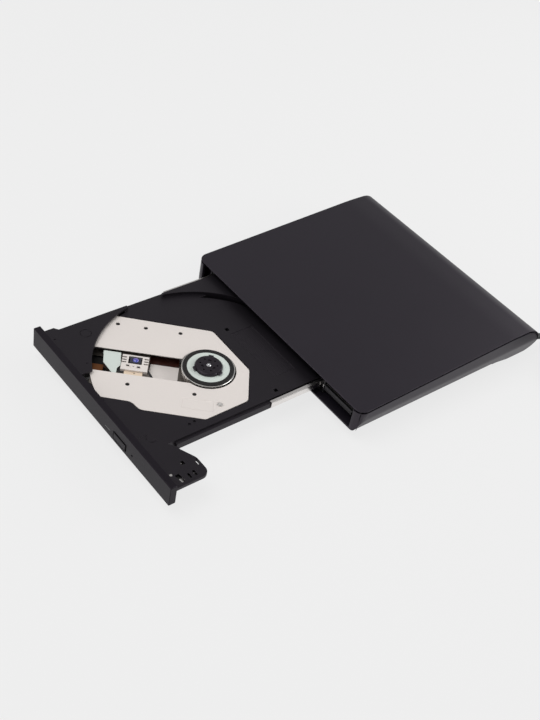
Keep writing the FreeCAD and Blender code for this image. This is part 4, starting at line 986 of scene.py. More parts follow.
@dataclass
class Assembly:
    """What every sub-assembly shares: the finishes and the places that others count from.

    Attributes:
        palette: The finishes.
        origin: The tray's own origin, in the middle of the bezel's lower front edge.
        hub: The turntable's middle at the tray's own zero height.
        slide_angle: The direction of the pickup's travel, in radians.
    """

    palette: Palette
    origin: Vector
    hub: Vector
    slide_angle: float

    def on_tray(self) -> Matrix:
        """The matrix, in metres, from the tray's own coordinates to the frame."""
        return Matrix.Translation(metres(self.origin))

    def on_mechanism(self) -> Matrix:
        """The matrix, in metres, from the mechanism's own coordinates to the frame."""
        return Matrix.Translation(metres(self.hub)) @ Matrix.Rotation(self.slide_angle, 4, "Z")

    def dress(self, obj: bpy.types.Object, slot: Slot) -> None:
        """Gives a finished object its material."""
        obj.data.materials.clear()
        obj.data.materials.append(self.palette.material(slot))

    def put(self, piece: Piece, slot: Slot, body: Body, *replaced: str) -> bpy.types.Object:
        """Gives a finished piece its material and lets it ride on a body.

        Args:
            piece: The piece.
            slot: Its finish.
            body: What it moves with.
            replaced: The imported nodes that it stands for.

        Returns:
            The object.
        """
        obj = piece.obj
        self.dress(obj, slot)
        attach(obj, body.value)
        if replaced:
            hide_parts(*replaced)
        log.info("%s rides on %s", obj.name, body.value)
        return obj

    def put_trims(self, trims: Iterable[Trim], body: Body, place: Matrix) -> None:
        """Builds small blocks that ride on one body.

        Args:
            trims: The blocks.
            body: What they move with.
            place: The matrix from the blocks' own coordinates to the frame.
        """
        for trim in trims:
            piece = Piece.block(trim.name, trim.x, trim.y, trim.z).soften(trim.softening)
            replaced = [trim.stands_for] if trim.stands_for else []
            self.put(piece.place(place), trim.slot, body, *replaced)

    def soften_nodes(self, body: Body, widths: dict[str, float]) -> None:
        """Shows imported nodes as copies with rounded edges.

        Args:
            body: What they ride on.
            widths: The rounding of each node's edges.
        """
        for node, width in widths.items():
            slot = slot_of(bpy.data.objects[node].material_slots[0])
            piece = Piece.merged_copy("finished_" + node, node).soften(width)
            self.put(piece, slot, body, node)


@dataclass
class Enclosure(Assembly):
    """The feet, the steel case of the drive and all that is fixed inside the covers.

    Attributes:
        foot_places: The middles of the round front feet.
        foot_radius: Their radius.
        foot_profile: How far in from that radius, and how high, each place of their outline is.
        strip_places: The middles of the two rear strips along X.
        strip_y: Their middle along Y.
        strip_half: Half of their length and half of their depth.
        strip_height: Their height.
        lid_edge_glints: Bright steel strips along the case's front edge beside the tray's opening,
            and a short leg: painted glints, as the case itself is near-black steel.
    """

    foot_places: tuple[Pair, ...] = ((-52.0, -56.0), (52.0, -56.0))
    foot_radius: float = 4.2
    foot_profile: tuple[Pair, ...] = (
        (0.0, 2.2), (0.0, 0.45), (0.14, 0.14), (0.45, 0.0), (1.3, 0.0), (1.5, 0.3), (3.8, 0.3),
    )
    strip_places: Pair = (-48.0, 48.0)
    strip_y: float = 59.8
    strip_half: Pair = (9.0, 2.6)
    strip_height: float = 0.9
    # Painted glints: bright steel strips that stand in for the light caught along the dark case's
    # front edge.
    lid_edge_glints: tuple[Trim, ...] = (
        Trim("case_edge_glint", Slot.RAIL, (39.4, 63.0), (-64.75, -64.25), (12.28, 12.42), 0.02),
        Trim("case_edge_glint_leg", Slot.RAIL, (39.9, 40.15), (-66.5, -66.3), (8.7, 12.22), 0.03),
    )

    def build(self) -> None:
        """Builds all pieces of the enclosure but its covers and its cord."""
        self.soften_nodes(Body.ENCLOSURE, {
            "drive_case_bottom": 0.10, "drive_case_top": 0.12, "case_screws": 0.05,
            "enclosure_screws": 0.08, "bridge_board": 0.06, "bridge_plug": 0.12,
            "drive_socket": 0.12, "latch_pin": 0.03, "left_guide": 0.12, "right_guide": 0.12,
        })
        self.build_feet()
        self.put_trims(self.lid_edge_glints, Body.ENCLOSURE, Matrix.Identity(4))

    def build_feet(self) -> None:
        """Two round rubber feet in front and two flat strips under the rear."""
        profile = [(self.foot_radius - inward, height) for inward, height in self.foot_profile]
        for index, (x, y) in enumerate(self.foot_places, 1):
            foot = Piece.turned(f"front_foot_{index}", (x, y, 0), profile, 64).smooth()
            self.put(foot, Slot.RUBBER, Body.ENCLOSURE, "feet")
        half_x, half_y = self.strip_half
        depth = (self.strip_y - half_y, self.strip_y + half_y)
        for index, x in enumerate(self.strip_places, 1):
            span = (x - half_x, x + half_x)
            strip = Piece.block(f"rear_foot_{index}", span, depth, (0, self.strip_height))
            strip.corners(2).bevel(2.0, 6)
            strip.faces(lambda middle, normal: normal.z < -SQUARE_ON).inset(0.9).inset(0.15, -0.2)
            self.put(strip.soften(0.12), Slot.RUBBER, Body.ENCLOSURE, "feet")


@dataclass
class Cord(Assembly):
    """The cord from the strain relief through its coil to the plug.

    Its free stretches follow listed points, and the coil winds in on the floor, climbs half a
    turn and winds out again on top.

    Attributes:
        diameter: The cord's thickness.
        length: Its whole length.
        leave: The points from the strain relief to the coil.
        tail: The points from the coil to the plug.
        coil_centre: The coil's middle on the floor.
        coil_radius: The radius of its outer turn.
        coil_pitch: The distance from one turn to the next.
        spiral_turns: How many turns it winds in, and out again.
        climb_turns: Over how many turns it climbs.
        climb_pull: How far the climb is pulled in, as a share of the pitch and the climb.
        points_per_turn: How many of the line's points each turn has.
        relief_profile: The (radius, Y) places of the strain relief's outline.
        plug_x: The plug's middle along X.
        plug_z: The plug's middle height.
        grip_half: Half of the grip's width and half of its height.
        neck_length: The length over which the grip narrows to the cord.
        neck_scale: How much it narrows.
        rib_start: From the grip's front to its first rib.
        rib_pitch: From one rib to the next.
        contact_places: The middles of the plug's contacts, from the plug's middle.
    """

    diameter: float = 3.6
    length: float = 446.6
    leave: Sequence[Triple] = (
        (68.25, 73.5, 9.2), (68.25, 76.3, 9.2), (68.8, 80.6, 7.4), (70.4, 86.2, 4.5),
        (74.8, 94.6, 1.8), (82.0, 101.5, 1.8), (91.5, 105.5, 1.8), (100.4, 105.5, 1.8),
    )
    tail: Sequence[Triple] = (
        (107.6, 105.5, 5.95), (115.0, 105.5, 5.95), (122.6, 102.4, 5.3), (128.4, 96.6, 4.6),
        (131.5, 89.0, 4.2), (131.5, 81.6, 4.2),
    )
    coil_centre: Pair = (104.0, 84.0)
    coil_radius: float = 21.5
    coil_pitch: float = 4.15
    spiral_turns: float = 1.25
    climb_turns: float = 0.5
    climb_pull: float = 0.25
    points_per_turn: int = 14
    relief_profile: tuple[Pair, ...] = (
        (1.80, 65.4), (1.80, 66.6), (2.48, 66.6), (2.48, 68.4), (2.24, 68.4), (2.24, 70.9),
        (2.30, 71.0), (2.30, 71.5), (1.98, 71.7), (1.98, 72.0), (2.22, 72.2), (2.22, 72.6),
        (1.95, 72.8), (1.95, 73.2), (2.02, 73.3), (2.02, 73.5), (1.85, 73.5),
    )
    plug_x: float = 131.5
    plug_z: float = 4.2
    grip_half: Pair = (6.2, 4.2)
    neck_length: float = 6.0
    neck_scale: Triple = (0.42, 1, 0.62)
    rib_start: float = 4.2
    rib_pitch: float = 2.4
    contact_places: tuple[float, ...] = (-3.5, -1.0, 1.0, 3.5)

    def coil_point(self, turns: float) -> Triple:
        """The coil's centre line after so many turns.

        Args:
            turns: The turns from the coil's start.

        Returns:
            The point.
        """
        spiral, climb, pitch = self.spiral_turns, self.climb_turns, self.coil_pitch
        inner = self.coil_radius - pitch * spiral
        low = self.diameter / 2
        height = low
        if turns <= spiral:
            radius = self.coil_radius - pitch * turns
        elif turns <= spiral + climb:
            share = (turns - spiral) / climb
            radius = inner - pitch * climb * self.climb_pull * math.sin(math.pi * share)
            height = low + pitch * (1 - math.cos(math.pi * share)) / 2
        else:
            radius = inner + pitch * (turns - spiral - climb)
            height = low + pitch
        angle = math.pi / 2 - 2 * math.pi * turns
        x, y = self.coil_centre
        return (x + radius * math.cos(angle), y + radius * math.sin(angle), height)

    def build(self) -> None:
        """Builds the cord, its strain relief and its plug."""
        relief = self.build_relief()
        grip = self.build_grip()
        shell = Piece.merged_copy("plug_shell", "usb_plug_shell").soften(0.08)
        shell = self.put(shell, Slot.PLUG, Body.ENCLOSURE, "usb_plug_shell")
        tongue = Piece.merged_copy("plug_tongue", "usb_plug_tongue").soften(0.06)
        tongue = self.put(tongue, Slot.PALE, Body.ENCLOSURE, "usb_plug_tongue")
        contacts = self.build_contacts()
        cord = self.build_line()
        self.dress(cord, Slot.CORD)
        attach(cord, Body.ENCLOSURE.value)
        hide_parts("usb_cord", "cord_coil", "cord_tail")
        log.info("cord of %.0f mm", self.length)

    def build_line(self) -> bpy.types.Object:
        """The cord itself, as one smooth line with the cord's thickness.

        Returns:
            The object.
        """
        turns = 2 * self.spiral_turns + self.climb_turns
        steps = round(turns * self.points_per_turn)
        coil = [self.coil_point(turns * step / steps) for step in range(steps + 1)]
        points = [*self.leave, *coil, *self.tail]
        curve = bpy.data.curves.new("cord", "CURVE")
        curve.dimensions = "3D"
        curve.bevel_depth = self.diameter / 2 * MM
        curve.bevel_resolution = 5
        curve.use_fill_caps = True
        curve.resolution_u = 8
        spline = curve.splines.new("NURBS")
        spline.points.add(len(points) - 1)
        for target, point in zip(spline.points, points):
            target.co = (*metres(point), 1.0)
        spline.order_u = 3
        spline.use_endpoint_u = True
        cord = bpy.data.objects.new("cord", curve)
        bpy.context.scene.collection.objects.link(cord)
        return cord

    def build_relief(self) -> bpy.types.Object:
        """The tapered rubber nose in the rear wall, with two ribs.

        Returns:
            The object.
        """
        x, _, z = self.leave[0]
        relief = Piece.turned("cord_relief", (x, 0, z), self.relief_profile, 48, Axis.Y).smooth()
        return self.put(relief, Slot.CORD, Body.ENCLOSURE, "strain_relief")

    def build_grip(self) -> bpy.types.Object:
        """The plug's grip: a block that narrows to the cord, with a ribbed hollow on both sides.

        Returns:
            The object.
        """
        x, z = self.plug_x, self.plug_z
        low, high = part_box("usb_plug_grip")
        front, rear = low.y / MM, high.y / MM
        shoulder = rear - self.neck_length
        half_x, half_z = self.grip_half
        width, height = (x - half_x, x + half_x), (z - half_z, z + half_z)
        grip = Piece.block("plug_grip", width, (front, shoulder), height)
        grip.faces(lambda middle, normal: normal.y > SQUARE_ON)
        grip.extrude((0, self.neck_length, 0)).resize(self.neck_scale, (x, rear, z))
        grip.edges(lambda middle, way: abs(way.y) > 0.7).bevel(1.1, 4)
        grip.faces(lambda middle, normal: abs(normal.z) > 0.99).inset(1.4).inset(0.8, -0.35)
        grip.soften(0.18, 2)
        for side, level in (("under", (z - half_z + 0.05, z - half_z + 0.5)),
                            ("top", (z + half_z - 0.5, z + half_z - 0.05))):
            for index in range(4):
                y = front + self.rib_start + self.rib_pitch * index
                name = f"grip_rib_{index + 1}_{side}"
                rib = Piece.block(name, (x - 3.3, x + 3.3), (y, y + 1.0), level)
                self.put(rib.soften(0.18, 3), Slot.CORD, Body.ENCLOSURE)
        return self.put(grip, Slot.CORD, Body.ENCLOSURE, "usb_plug_grip")

    def build_contacts(self) -> list[bpy.types.Object]:
        """Four bright contact strips on the plug's tongue.

        Returns:
            The objects.
        """
        low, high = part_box("usb_plug_tongue")
        length = (low.y / MM + 0.9, high.y / MM - 0.8)
        height = (self.plug_z - 0.05, self.plug_z + 0.15)
        made = []
        for index, shift in enumerate(self.contact_places, 1):
            width = (self.plug_x + shift - 0.52, self.plug_x + shift + 0.52)
            strip = Piece.block(f"plug_contact_{index}", width, length, height).soften(0.06)
            made.append(self.put(strip, Slot.RAIL, Body.ENCLOSURE))
        return made


@dataclass
class Covers(Assembly):
    """The top plate that rolls down at the rear and the shell under it.

    Attributes:
        half_x: Half of the covers' width.
        half_y: Half of their depth.
        front_corner: The corner radius in front, seen from above.
        rear_corner: The corner radius at the rear.
        rim: How far in from the outline an edge still counts as the rim's.
        roll_y: Where the top plate starts to roll down.
        lip_z: The height above which the shell's rim is rounded.
        sharp: The least angle of an edge that is rounded, in degrees.
    """

    half_x: float = 73.0
    half_y: float = 70.5
    front_corner: float = 5.5
    rear_corner: float = 2.5
    rim: float = 0.25
    roll_y: float = 60.0
    lip_z: float = 6.8
    sharp: float = 40.0

    def inward(self, point: Vector) -> float:
        """How far a point lies inside the covers' outline."""
        corner = self.front_corner if point.y < 0 else self.rear_corner
        over = Vector((abs(point.x) - self.half_x + corner, abs(point.y) - self.half_y + corner))
        if min(over) <= 0:
            return corner - max(over)
        return corner - over.length

    def build(self) -> None:
        """Builds both covers."""
        top = Piece.merged_copy("upper_cover", "top_cover")
        top.edges(lambda middle, way: self.inward(middle) < self.rim and middle.y < self.roll_y,
                  self.sharp).bevel(0.2, 3, clamp=False)
        self.put(top.smooth(), Slot.COVER, Body.ENCLOSURE, "top_cover")
        shell = Piece.merged_copy("lower_shell", "bottom_cover")
        shell.edges(lambda middle, way: self.inward(middle) < self.rim and middle.z > self.lip_z,
                    self.sharp).bevel(0.25, 2, clamp=False)
        self.put(shell.smooth(), Slot.SHELL, Body.ENCLOSURE, "bottom_cover")


@dataclass
class Rails(Assembly):
    """The two sliding rails and the flat cable that rolls between the case and the tray.

    Attributes:
        rail_parts: What shows on the right rail beside the tray.
        cable_x: The cable's edges.
        anchor_y: Where its lower leg is held.
        bend_y: Where it rolls over.
        riser_y: Where it leaves the tray's floor.
        low_z: The lower leg's height.
        high_z: The upper leg's height.
        film: Its thickness.
        bend_steps: How many steps the rolling bend has.
        rise: The (Y, Z) places of the riser, with Y from where it leaves the floor.
    """

    rail_parts: tuple[Trim, ...] = (
        Trim("right_rail_web", Slot.RAIL, (38.2, 38.63), (-98.0, -90.0), (10.8, 12.8), 0.01),
        Trim("right_rail_edge_line", Slot.CAST, (38.5, 38.67), (-99.0, -66.8), (13.42, 13.56),
             0.01),
    )
    cable_x: Pair = (-34.0, -14.0)
    anchor_y: float = 50.0
    bend_y: float = -67.3
    riser_y: float = -65.3
    low_z: float = 7.03
    high_z: float = 7.37
    film: float = 0.1
    bend_steps: int = 8
    rise: tuple[Pair, ...] = (
        (0.0, 7.37), (0.12, 7.42), (0.18, 7.7), (0.15, 8.6), (0.05, 9.4), (-0.3, 10.0),
        (-0.9, 10.4), (-1.6, 10.55), (-3.4, 10.6),
    )

    def build(self) -> None:
        """Builds the rails and the cable."""
        self.soften_nodes(Body.RAILS, {"left_rail": 0.07, "right_rail": 0.07})
        self.put_trims(self.rail_parts, Body.RAILS, Matrix.Identity(4))
        self.build_cable()

    def strip(self, name: str, path: Sequence[Pair]) -> Piece:
        """A sheet whose far edge is extruded from place to place and which is then thickened.

        Args:
            name: The piece's name.
            path: The (y, z) places that its middle goes through.

        Returns:
            The piece.
        """
        low, high = self.cable_x
        (y0, z0), (y1, z1) = path[:2]
        middle_y, length = (y0 + y1) / 2, abs(y1 - y0)
        way = 1 if y1 > y0 else -1
        bpy.ops.object.select_all(action="DESELECT")
        start = metres(((low + high) / 2, middle_y, z0))
        bpy.ops.mesh.primitive_plane_add(size=1.0, location=start)
        bpy.context.active_object.scale = ((high - low) * MM, length * MM, 1)
        piece = Piece.taken(name)
        piece.edges(lambda middle, along: (middle.y - middle_y) * way > 0.3 * length)
        piece.shift((0, 0, z1 - z0))
        for (y, z), (next_y, next_z) in zip(path[1:], path[2:]):
            piece.extrude((0, next_y - y, next_z - z))
        return piece.modifier("SOLIDIFY", thickness=self.film * MM, offset=0).smooth(60)

    def build_cable(self) -> None:
        """The leg on the case's floor, the rolling bend, the upper leg and the riser."""
        low, high = self.low_z, self.high_z
        radius, middle = (high - low) / 2, (high + low) / 2
        turn = [math.pi * step / self.bend_steps for step in range(self.bend_steps + 1)]
        paths = {
            "cable_lower_leg": [(self.bend_y, low), (self.anchor_y, low)],
            "cable_upper_leg": [(self.bend_y, high), (self.riser_y, high)],
            "cable_bend": [(self.bend_y - radius * math.sin(angle),
                            middle - radius * math.cos(angle)) for angle in turn],
            "cable_riser": [(self.riser_y + y, z) for y, z in self.rise],
        }
        made = [self.strip(name, path).obj for name, path in paths.items()]
        for obj in made:
            self.dress(obj, Slot.FILM)
        lower, upper, bend, riser = made
        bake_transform(lower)
        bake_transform(upper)
        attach(bend, Body.RAILS.value)
        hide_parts("flex_cable")
        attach(riser, Body.TRAY.value)
        log.info("flat cable in four pieces")


@dataclass
class Tray(Assembly):
    """The tray with its bezel, button, boards and ear. Places are the tray's own.

    Attributes:
        button: The button's extents.
        ear_painted_shade: The extents of the dark sheet under the ear's openings, painted shade for
            the shadowed inside of the ear.
        details: The bright parts that show in the ear's openings, the line along its rim and a dark
            block at the front of the deck that is painted shade in the gap there.
    """

    button: tuple[Pair, Pair, Pair] = ((14.8, 26.0), (-0.25, 1.6), (1.9, 6.5))
    ear_painted_shade: tuple[Pair, Pair, Pair] = ((48.8, 61.4), (7.8, 22.6), (7.6, 7.8))
    details: tuple[Trim, ...] = (
        Trim("latch_hook_tip", Slot.RAIL, (57.9, 60.7), (9.2, 10.5), (7.8, 8.1), 0.05),
        Trim("ear_hole_pin", Slot.RAIL, (50.0, 50.6), (14.9, 15.9), (7.8, 8.5), 0.05),
        Trim("ear_notch_strip", Slot.RAIL, (52.6, 55.3), (21.95, 22.3), (7.8, 8.9), 0.05),
        Trim("ear_slot_pin", Slot.RAIL, (58.1, 58.6), (17.3, 17.8), (7.8, 8.3), 0.05),
        Trim("ear_rim_line", Slot.TRAY, (61.75, 61.95), (5.0, 18.6), (9.39, 9.46), 0.02),
        # Painted shade: a dark block that hides the base's lit wall in the gap at the deck's front.
        Trim("deck_front_painted_shade", Slot.RUBBER, (-22.0, -12.0), (5.4, 9.5), (6.5, 7.2), 0.05),
    )

    def build(self) -> None:
        """Builds all pieces that ride on the tray and belong to it."""
        self.soften_nodes(Body.TRAY, {
            "tray_frame": 0.16, "bezel": 0.22, "light_pipe": 0.12, "front_board": 0.05,
            "eject_switch": 0.08, "bottom_shield": 0.08, "tray_screws": 0.05, "main_board": 0.05,
            "board_chips": 0.06, "latch_solenoid": 0.12, "latch_pivot": 0.06,
        })
        self.soften_nodes(Body.LATCH, {"latch_lever": 0.03})
        self.build_button()
        # A dark sheet under the ear's openings, as painted shade where the inside of the ear lies in
        # shadow.
        liner = Piece.block("ear_painted_shade", *self.ear_painted_shade).corners(2).bevel(3.0, 4).smooth()
        self.put(liner.place(self.on_tray()), Slot.RUBBER, Body.TRAY)
        self.put_trims(self.details, Body.TRAY, self.on_tray())

    def build_button(self) -> None:
        """The eject button with soft corners and a shallow dish in its face."""
        button = Piece.block("button_cap", *self.button).corners(1).bevel(0.7, 5)
        button.faces(lambda middle, normal: normal.y < -SQUARE_ON).inset(0.55).inset(0.5, -0.14)
        button.soften(0.1, 2, 25)
        self.put(button.place(self.on_tray()), Slot.BEZEL, Body.BUTTON)


@dataclass
class Mechanism(Assembly):
    """The silver deck, the cast base under it and what drives the pickup.

    Attributes:
        slot_parts: The ribbon, the bright sheet, the films and the plate that show through the
            deck's slot, and a black sheet at its far end that is painted shadow, all in the
            mechanism's own coordinates.
        hole_places: The middles of the deck's holes, in the tray's own coordinates.
        cup_profile: The outline of the dark cup in each hole, painted shade that makes the hole read
            black.
    """

    slot_parts: tuple[Trim, ...] = (
        Trim("pickup_ribbon", Slot.FILM, (-46.0, -15.5), (3.4, 9.5), (2.7, 2.82),
             stands_for="pickup_flex"),
        Trim("slot_floor_sheet", Slot.DECK, (-30.4, -15.2), (-12.3, 3.3), (2.16, 2.4)),
        Trim("slot_end_film", Slot.COPPER, (-62.5, -54.5), (-9.0, -2.6), (2.7, 2.8)),
        # Painted shadow: a black sheet that hides the lit grey shield at the slot's far end.
        Trim("slot_end_painted_shadow", Slot.RUBBER, (-63.0, -47.5), (-12.0, 9.5), (1.5, 1.62)),
        Trim("slot_end_plate", Slot.CAST, (-63.0, -55.5), (3.8, 9.0), (2.5, 2.85)),
    )
    hole_places: tuple[Pair, ...] = (
        (-50.5, 43.7), (-40.5, 55.1), (-28.1, 69.3), (-8.8, 23.0), (14.0, 49.0),
    )
    cup_profile: tuple[Pair, ...] = ((1.12, 7.3), (1.12, 7.42), (1.05, 7.42), (1.0, 7.34))

    def build(self) -> None:
        """Builds the deck, the base and the drive of the pickup."""
        self.soften_nodes(Body.TRAY, {
            "traverse_deck": 0.12, "traverse_base": 0.12, "damper_bushes": 0.15,
            "guide_rods": 0.1, "spindle_motor": 0.08,
        })
        self.put_trims(self.slot_parts, Body.TRAY, self.on_mechanism())
        # Dark cups in the deck's holes: painted shade for the holes' dark insides.
        for index, (x, y) in enumerate(self.hole_places, 1):
            middle = tuple(self.origin + Vector((x, y, 0)))
            cup = Piece.turned(f"deck_hole_painted_shade_{index}", middle, self.cup_profile, 32)
            self.put(cup.smooth(), Slot.RUBBER, Body.TRAY)


@dataclass
class Pickup(Assembly):
    """The pickup with its cover, actuator and lens. Places are the mechanism's own.

    Attributes:
        dark_parts: The dark parts that show beside the frame and on it.
        wedge: The extents of the wedge beside the frame, before one corner is drawn out.
        wedge_reach: How far that corner is drawn out.
        lens_place: The lens's middle.
        lens_ball: The height of the dome's centre, and its radius.
        lens_radius: The lens's own radius.
    """

    dark_parts: tuple[Trim, ...] = (
        Trim("pickup_side_block", Slot.CHIP, (-47.2, -43.8), (-9.3, -5.8), (4.9, 5.5)),
        Trim("frame_mark_left", Slot.CHIP, (-42.6, -41.0), (-5.6, -4.6), (7.09, 7.13)),
        Trim("frame_mark_middle", Slot.CHIP, (-39.3, -38.3), (-5.5, -5.2), (7.09, 7.13)),
        Trim("frame_mark_right", Slot.CHIP, (-36.9, -35.3), (-5.9, -4.9), (7.09, 7.13)),
        Trim("board_mark_far", Slot.CHIP, (-38.2, -37.4), (-9.7, -9.3), (6.09, 6.13)),
        Trim("board_mark_near", Slot.CHIP, (-38.9, -36.9), (-11.6, -11.2), (6.09, 6.13)),
    )
    wedge: tuple[Pair, Pair, Pair] = ((-33.5, -30.4), (-10.6, -5.4), (4.9, 5.3))
    wedge_reach: float = 3.0
    lens_place: Pair = (-38.1, -0.4)
    lens_ball: Pair = (5.2, 2.6)
    lens_radius: float = 1.7

    def build(self) -> None:
        """Builds the pickup and the lens."""
        self.soften_nodes(Body.PICKUP, {
            "pickup_body": 0.15, "screw_follower": 0.08, "pickup_cover": 0.08,
            "pickup_board": 0.06,
        })
        self.soften_nodes(Body.LENS, {"lens_holder": 0.12})
        frame = Piece.merged_copy("lens_frame", "actuator_frame").smooth()
        self.put(frame, Slot.DECK, Body.PICKUP, "actuator_frame")
        self.build_lens()
        self.put_trims(self.dark_parts, Body.PICKUP, self.on_mechanism())
        self.build_wedge()

    def build_wedge(self) -> None:
        """The dark wedge beside the frame."""
        wedge = Piece.block("pickup_side_wedge", *self.wedge)
        edge_x, edge_y = self.wedge[0][1] - 0.1, self.wedge[1][0] + 0.1
        wedge.edges(lambda middle, way: middle.x > edge_x and middle.y < edge_y
                    and abs(way.z) > SQUARE_ON)
        wedge.shift((self.wedge_reach, 0, 0)).soften(0.04).place(self.on_mechanism())
        self.put(wedge, Slot.CHIP, Body.PICKUP)

    def build_lens(self) -> None:
        """The domed lens on its straight edge."""
        centre = tuple(self.on_mechanism() @ metres((*self.lens_place, 0)) / MM)
        level, ball = self.lens_ball
        edge = self.lens_radius
        arc = [math.radians(angle) for angle in range(40, 90, 7)]
        dome = [(ball * math.cos(angle), level + ball * math.sin(angle)) for angle in arc]
        profile = [(edge - 0.1, 6.25), (edge, 6.3), (edge, 6.75),
                   *[place for place in dome if place[0] < edge]]
        lens = Piece.turned("pickup_lens", centre, profile, 48).smooth(50)
        self.put(lens, Slot.GLASS, Body.LENS, "objective_lens")


@dataclass
class Turntable(Assembly):
    """The disc motor's rotor, platter, rubber ring, hub and its three catches.

    Attributes:
        rotor_radius: The radius of the rotor's flange.
        ridge_count: How many ridges run round the rotor's side.
        ridge_height: How far they stand out.
        bore: The radius of the hole for the shaft.
        flange_top: The height of the flange's top, on which the platter and the rubber lie.
        ring_radius: The platter's radius.
        rubber_radius: The rubber ring's outer radius.
        shaft: The (radius, height) places of the shaft's outline.
    """

    rotor_radius: float = 14.3
    ridge_count: int = 48
    ridge_height: float = 0.22
    bore: float = 1.21
    flange_top: float = 8.7
    ring_radius: float = 11.4
    rubber_radius: float = 13.7
    shaft: tuple[Pair, ...] = ((1.2, 2.7), (1.2, 10.75), (1.0, 10.95), (0.42, 10.95), (0.12, 10.7))

    def build(self) -> None:
        """Builds the rotor, the platter, the rubber ring, the shaft, the hub and its catches."""
        self.soften_nodes(Body.TURNTABLE, {"rotor_magnet": 0.06, "chuck_hub": 0.16})
        for body in (Body.PAWL_1, Body.PAWL_2, Body.PAWL_3):
            self.soften_nodes(body, {body.value: 0.12})
        self.build_rotor()
        centre, top = tuple(self.hub), self.flange_top
        inner = self.ring_radius
        platter = [
            (self.bore, top), (inner, top), (inner, 8.92), (inner - 0.1, 9.0), (inner - 2.2, 9.0),
            (inner - 2.35, 8.93), (inner - 2.5, 9.0), (self.bore, 9.0),
        ]
        plate = Piece.turned("disc_platter", centre, platter, 144, closed=True).smooth(25)
        self.put(plate, Slot.PALE, Body.TURNTABLE, "turntable_ring")
        low, high = inner + 0.05, self.rubber_radius
        rubber = [
            (low, top), (high, top), (high, 9.1), (high - 0.22, 9.28), (low + 1.3, 9.3),
            (low + 1.15, 9.2), (low + 1.0, 9.3), (low + 0.2, 9.28), (low, 9.1),
        ]
        grip = Piece.turned("disc_rubber", centre, rubber, 144, closed=True).smooth(30)
        self.put(grip, Slot.RUBBER, Body.TURNTABLE, "rubber_ring")
        pin = Piece.turned("disc_shaft", centre, self.shaft, 48).smooth(30)
        self.put(pin, Slot.ROD, Body.TURNTABLE, "spindle_shaft")

    def build_rotor(self) -> None:
        """The rotor: a cup with a flange, and with ridges round its side."""
        outer, top = self.rotor_radius, self.flange_top
        wall, inside = outer - 0.6, outer - 1.2
        profile = [
            (inside, 3.3), (wall - 0.15, 3.3), (wall, 3.45), (wall, 7.4), (wall + 0.1, 7.8),
            (outer - 0.12, 7.9), (outer, 8.02), (outer, 8.55), (outer - 0.14, top),
            (self.bore, top), (self.bore, 7.9), (inside, 7.9),
        ]
        rotor = Piece.turned("rotor_cup", tuple(self.hub), profile, 144, closed=True)
        step = 2 * math.pi / self.ridge_count

        def on_ridge(middle: Vector, normal: Vector) -> bool:
            """Whether a face of the side wall belongs to a ridge."""
            from_hub = middle - self.hub
            share = (math.atan2(from_hub.y, from_hub.x) / step) % 1.0
            outward = normal.xy.dot(from_hub.xy) > 0
            return 3.6 < from_hub.z < 7.3 and outward and 0.3 < share < 0.7

        rise = {"value": self.ridge_height * MM}
        rotor.faces(on_ridge).run(bpy.ops.mesh.extrude_region_shrink_fatten,
                                  TRANSFORM_OT_shrink_fatten=rise)
        self.put(rotor.smooth(), Slot.PLUG, Body.TURNTABLE, "rotor_can")


